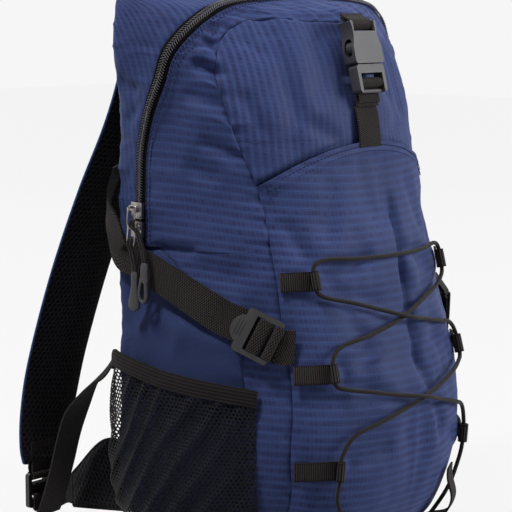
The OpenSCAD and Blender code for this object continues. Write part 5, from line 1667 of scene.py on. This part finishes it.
class DAYPACK_OT_sliders(bpy.types.Operator):
    """Plated zip sliders with wire loops, cord pulls and moulded grips"""
    bl_idname = "daypack.sliders"
    bl_label = "Zip sliders and pulls"

    def execute(self, context):
        black = moulded("Grip rubber", "#37353b", "#232127", .5)
        for where, body, pull_body, x, low, tie, way in PULLS:
            f = FIT[f"{where}_slider"]
            rounded(f"{where}_slider", zinc(), .5, body=body)
            wire_path = place(f, smooth_path(PULL_WIRE, 6))
            bail = tube(f"{where}_pull_wire", wire_path, .62, zinc(), 10, body=pull_body, slot="zinc")
            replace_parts(bail, f"{where}_pull")
            knot = [[tie - 1.4, -8.0, 10.6], [tie - 1.2, -6.6, 9.8], [tie, -6.0, 9.2], [tie + 1.2, -6.6, 9.8],
                    [tie + 1.4, -8.0, 10.6]]
            runs = [(k, 5, [[tie + k*1.4, -8.0, 10.6], [tie + k*1.5, -10.6, 11.0],
                            *[[a + k*1.3, b, c] for a, b, c in way],
                            [x + k*1.15, low + 2, 9.4], [x + k*.9, low - 5, 9.3]]) for k in (-1, 1)]
            strands = [tube(f"{where}_cord_{k}", place(f, smooth_path(run, rows)), 1.15, braid(), 8,
                            body=pull_body) for k, rows, run in (*runs, ("top", 4, knot))]
            join(strands, f"{where}_pull_cord")
            s = np.linspace(0, 1, 22)
            w = curve(s, [[0, 2.4], [.08, 3.1], [.3, 3.1], [.55, 3.9], [.8, 5.2], [.93, 4.4], [1, 1.2]])
            h = curve(s, [[0, 1.5], [.1, 2.0], [.35, 2.0], [.8, 2.7], [.93, 2.3], [1, .6]])
            centre = place(f, np.stack([x + .6*np.sin(3*s), low - 30*s, 9.3 + .5*np.sin(2.5*s)], -1))
            if where == "lower":
                loft("lower_pull_grip", centre, f[1], w, h, black, body=pull_body, slot="pull_grip")
                continue
            parts = [loft("grip_neck", centre[:11], f[1], w[:11]*1.1, h[:11], black, body=pull_body)]
            for k in (-1, 1):
                leg = [[x + k*1.6, low - 11, 9.5], [x + k*2.6, low - 16, 9.7], [x + k*3.4, low - 21, 9.9],
                       [x + k*3.2, low - 26, 9.8], [x + k*1.2, low - 29, 9.6]]
                parts.append(loft(f"grip_leg_{k}", place(f, smooth_path(leg, 5)), f[1], 1.5, 2.1, black,
                                  body=pull_body))
            foot = [[x - 2, low - 28.6, 9.7], [x, low - 29.2, 9.7], [x + 2, low - 28.6, 9.7]]
            parts.append(loft("grip_foot", place(f, foot), f[2], 1.5, 2.0, black, body=pull_body))
            fuse(join(parts, "upper_pull_grip"), .45)
        return {"FINISHED"}


# ---- back pads and hip wings
def rounded_shares(n):
    """n + 1 shares from 0 to 1 that crowd towards both ends."""
    return np.sin(np.linspace(-np.pi/2, np.pi/2, n + 1))/2 + .5


class DAYPACK_OT_back(bpy.types.Operator):
    """Air-mesh back pads and padded hip wings"""
    bl_idname = "daypack.back"
    bl_label = "Back pads and hip wings"

    def execute(self, context):
        (turn_0, turn_1), (low, high) = BACK_PAD
        for side, word in SIDES:
            u, v = crossed(rounded_shares(30), rounded_shares(70))
            turn, z = mix(turn_0, turn_1, u), mix(low, high, v)
            p = surf(turn, z)
            puff = (1 - (2*u - 1)**6)**.6*(1 - (2*v - 1)**14)**.6
            groove = sum(1.8*np.exp(-((np.abs(v - k)*(high - low))/3.2)**2) for k in (.36, .7))
            d = .5 + 6.9*puff + .3*noise(p, 30, 41)*puff - groove*puff
            turn, z, d, uv = hand(side, turn, z, d, pairs(p[..., 0], z))
            q = slab(f"{word}_back_pad", skin(turn, z, d), skin(turn, z, .4), air_mesh("Back mesh", 4.0), uv,
                     slot="air_mesh")
            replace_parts(q, "back_pads")

            u, v = crossed(np.linspace(0, 1, 40), rounded_shares(24))
            z = mix(mix(24, 14, u), curve(u, [[0, 72], [.5, 74], [1, 42]]), v)
            start = mix(mid_y(z), back_y(z), (1 - (WING_X/half_w(z))**5)**.2) + SEAM_GAP
            y = mix(start, 148, u)
            h = 3.6*(1 - (2*v - 1)**6*.75)*(1 - np.exp(-(1 - u)*22)*.55)*(1 - .3*np.exp(-((v - .5)*12)**2))
            mid = np.stack([0*y + WING_X, y, z], -1)
            up = h[..., None]*[1, 0, 0]
            out, inn, uv = mid + up, mid - up, pairs(y, z)
            if side < 0:
                out, inn, uv = out[::-1]*[-1, 1, 1], inn[::-1]*[-1, 1, 1], uv[::-1]
            q = slab(f"{word}_hip_pad", out, inn, air_mesh(), uv, slot="air_mesh")
            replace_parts(q, f"{word}_hip_wing")
            edge = np.concatenate([mid[:, -1], mid[-1, ::-1][1:], mid[::-1, 0][1:]])*[side, 1, 1]
            loft(f"{word}_hip_binding", resample(edge, 90), [1, 0, 0], 2.2, 1.2,
                 webbing("Binding", "#141317", "#2c2b30", 1.2, 9.0), 3, 10, slot="webbing")
        return {"FINISHED"}


# ---- add-on
OPERATORS = (DAYPACK_OT_stage, DAYPACK_OT_cord, DAYPACK_OT_body, DAYPACK_OT_pocket, DAYPACK_OT_hood,
             DAYPACK_OT_zip, DAYPACK_OT_webbing, DAYPACK_OT_side_pockets, DAYPACK_OT_straps, DAYPACK_OT_fitting_webbing,
             DAYPACK_OT_loops, DAYPACK_OT_fittings, DAYPACK_OT_sliders, DAYPACK_OT_back)
GROUPS = (("daypack_cloth", DaypackCloth), ("daypack_trim", DaypackTrim), ("daypack_stage", DaypackStage))


class DAYPACK_PT_panel(bpy.types.Panel):
    """Sizes, colours and makers of the daypack"""
    bl_idname = "DAYPACK_PT_panel"
    bl_label = "Daypack"
    bl_space_type = "VIEW_3D"
    bl_region_type = "UI"
    bl_category = "Daypack"

    def draw(self, context):
        for key, group in GROUPS:
            box = self.layout.box()
            for name in group.__annotations__:
                box.prop(getattr(context.scene, key), name)
        for operator in OPERATORS:
            self.layout.operator(operator.bl_idname)


def register():
    for key, group in GROUPS:
        bpy.utils.register_class(group)
        setattr(bpy.types.Scene, key, bpy.props.PointerProperty(type=group))
    for c in (*OPERATORS, DAYPACK_PT_panel):
        bpy.utils.register_class(c)


def unregister():
    for c in (DAYPACK_PT_panel, *reversed(OPERATORS)):
        bpy.utils.unregister_class(c)
    for key, group in GROUPS:
        delattr(bpy.types.Scene, key)
        bpy.utils.unregister_class(group)


def main():
    register()
    for operator in OPERATORS:
        group, name = operator.bl_idname.split(".")
        getattr(getattr(bpy.ops, group), name)()


if __name__ == "__main__":
    main()
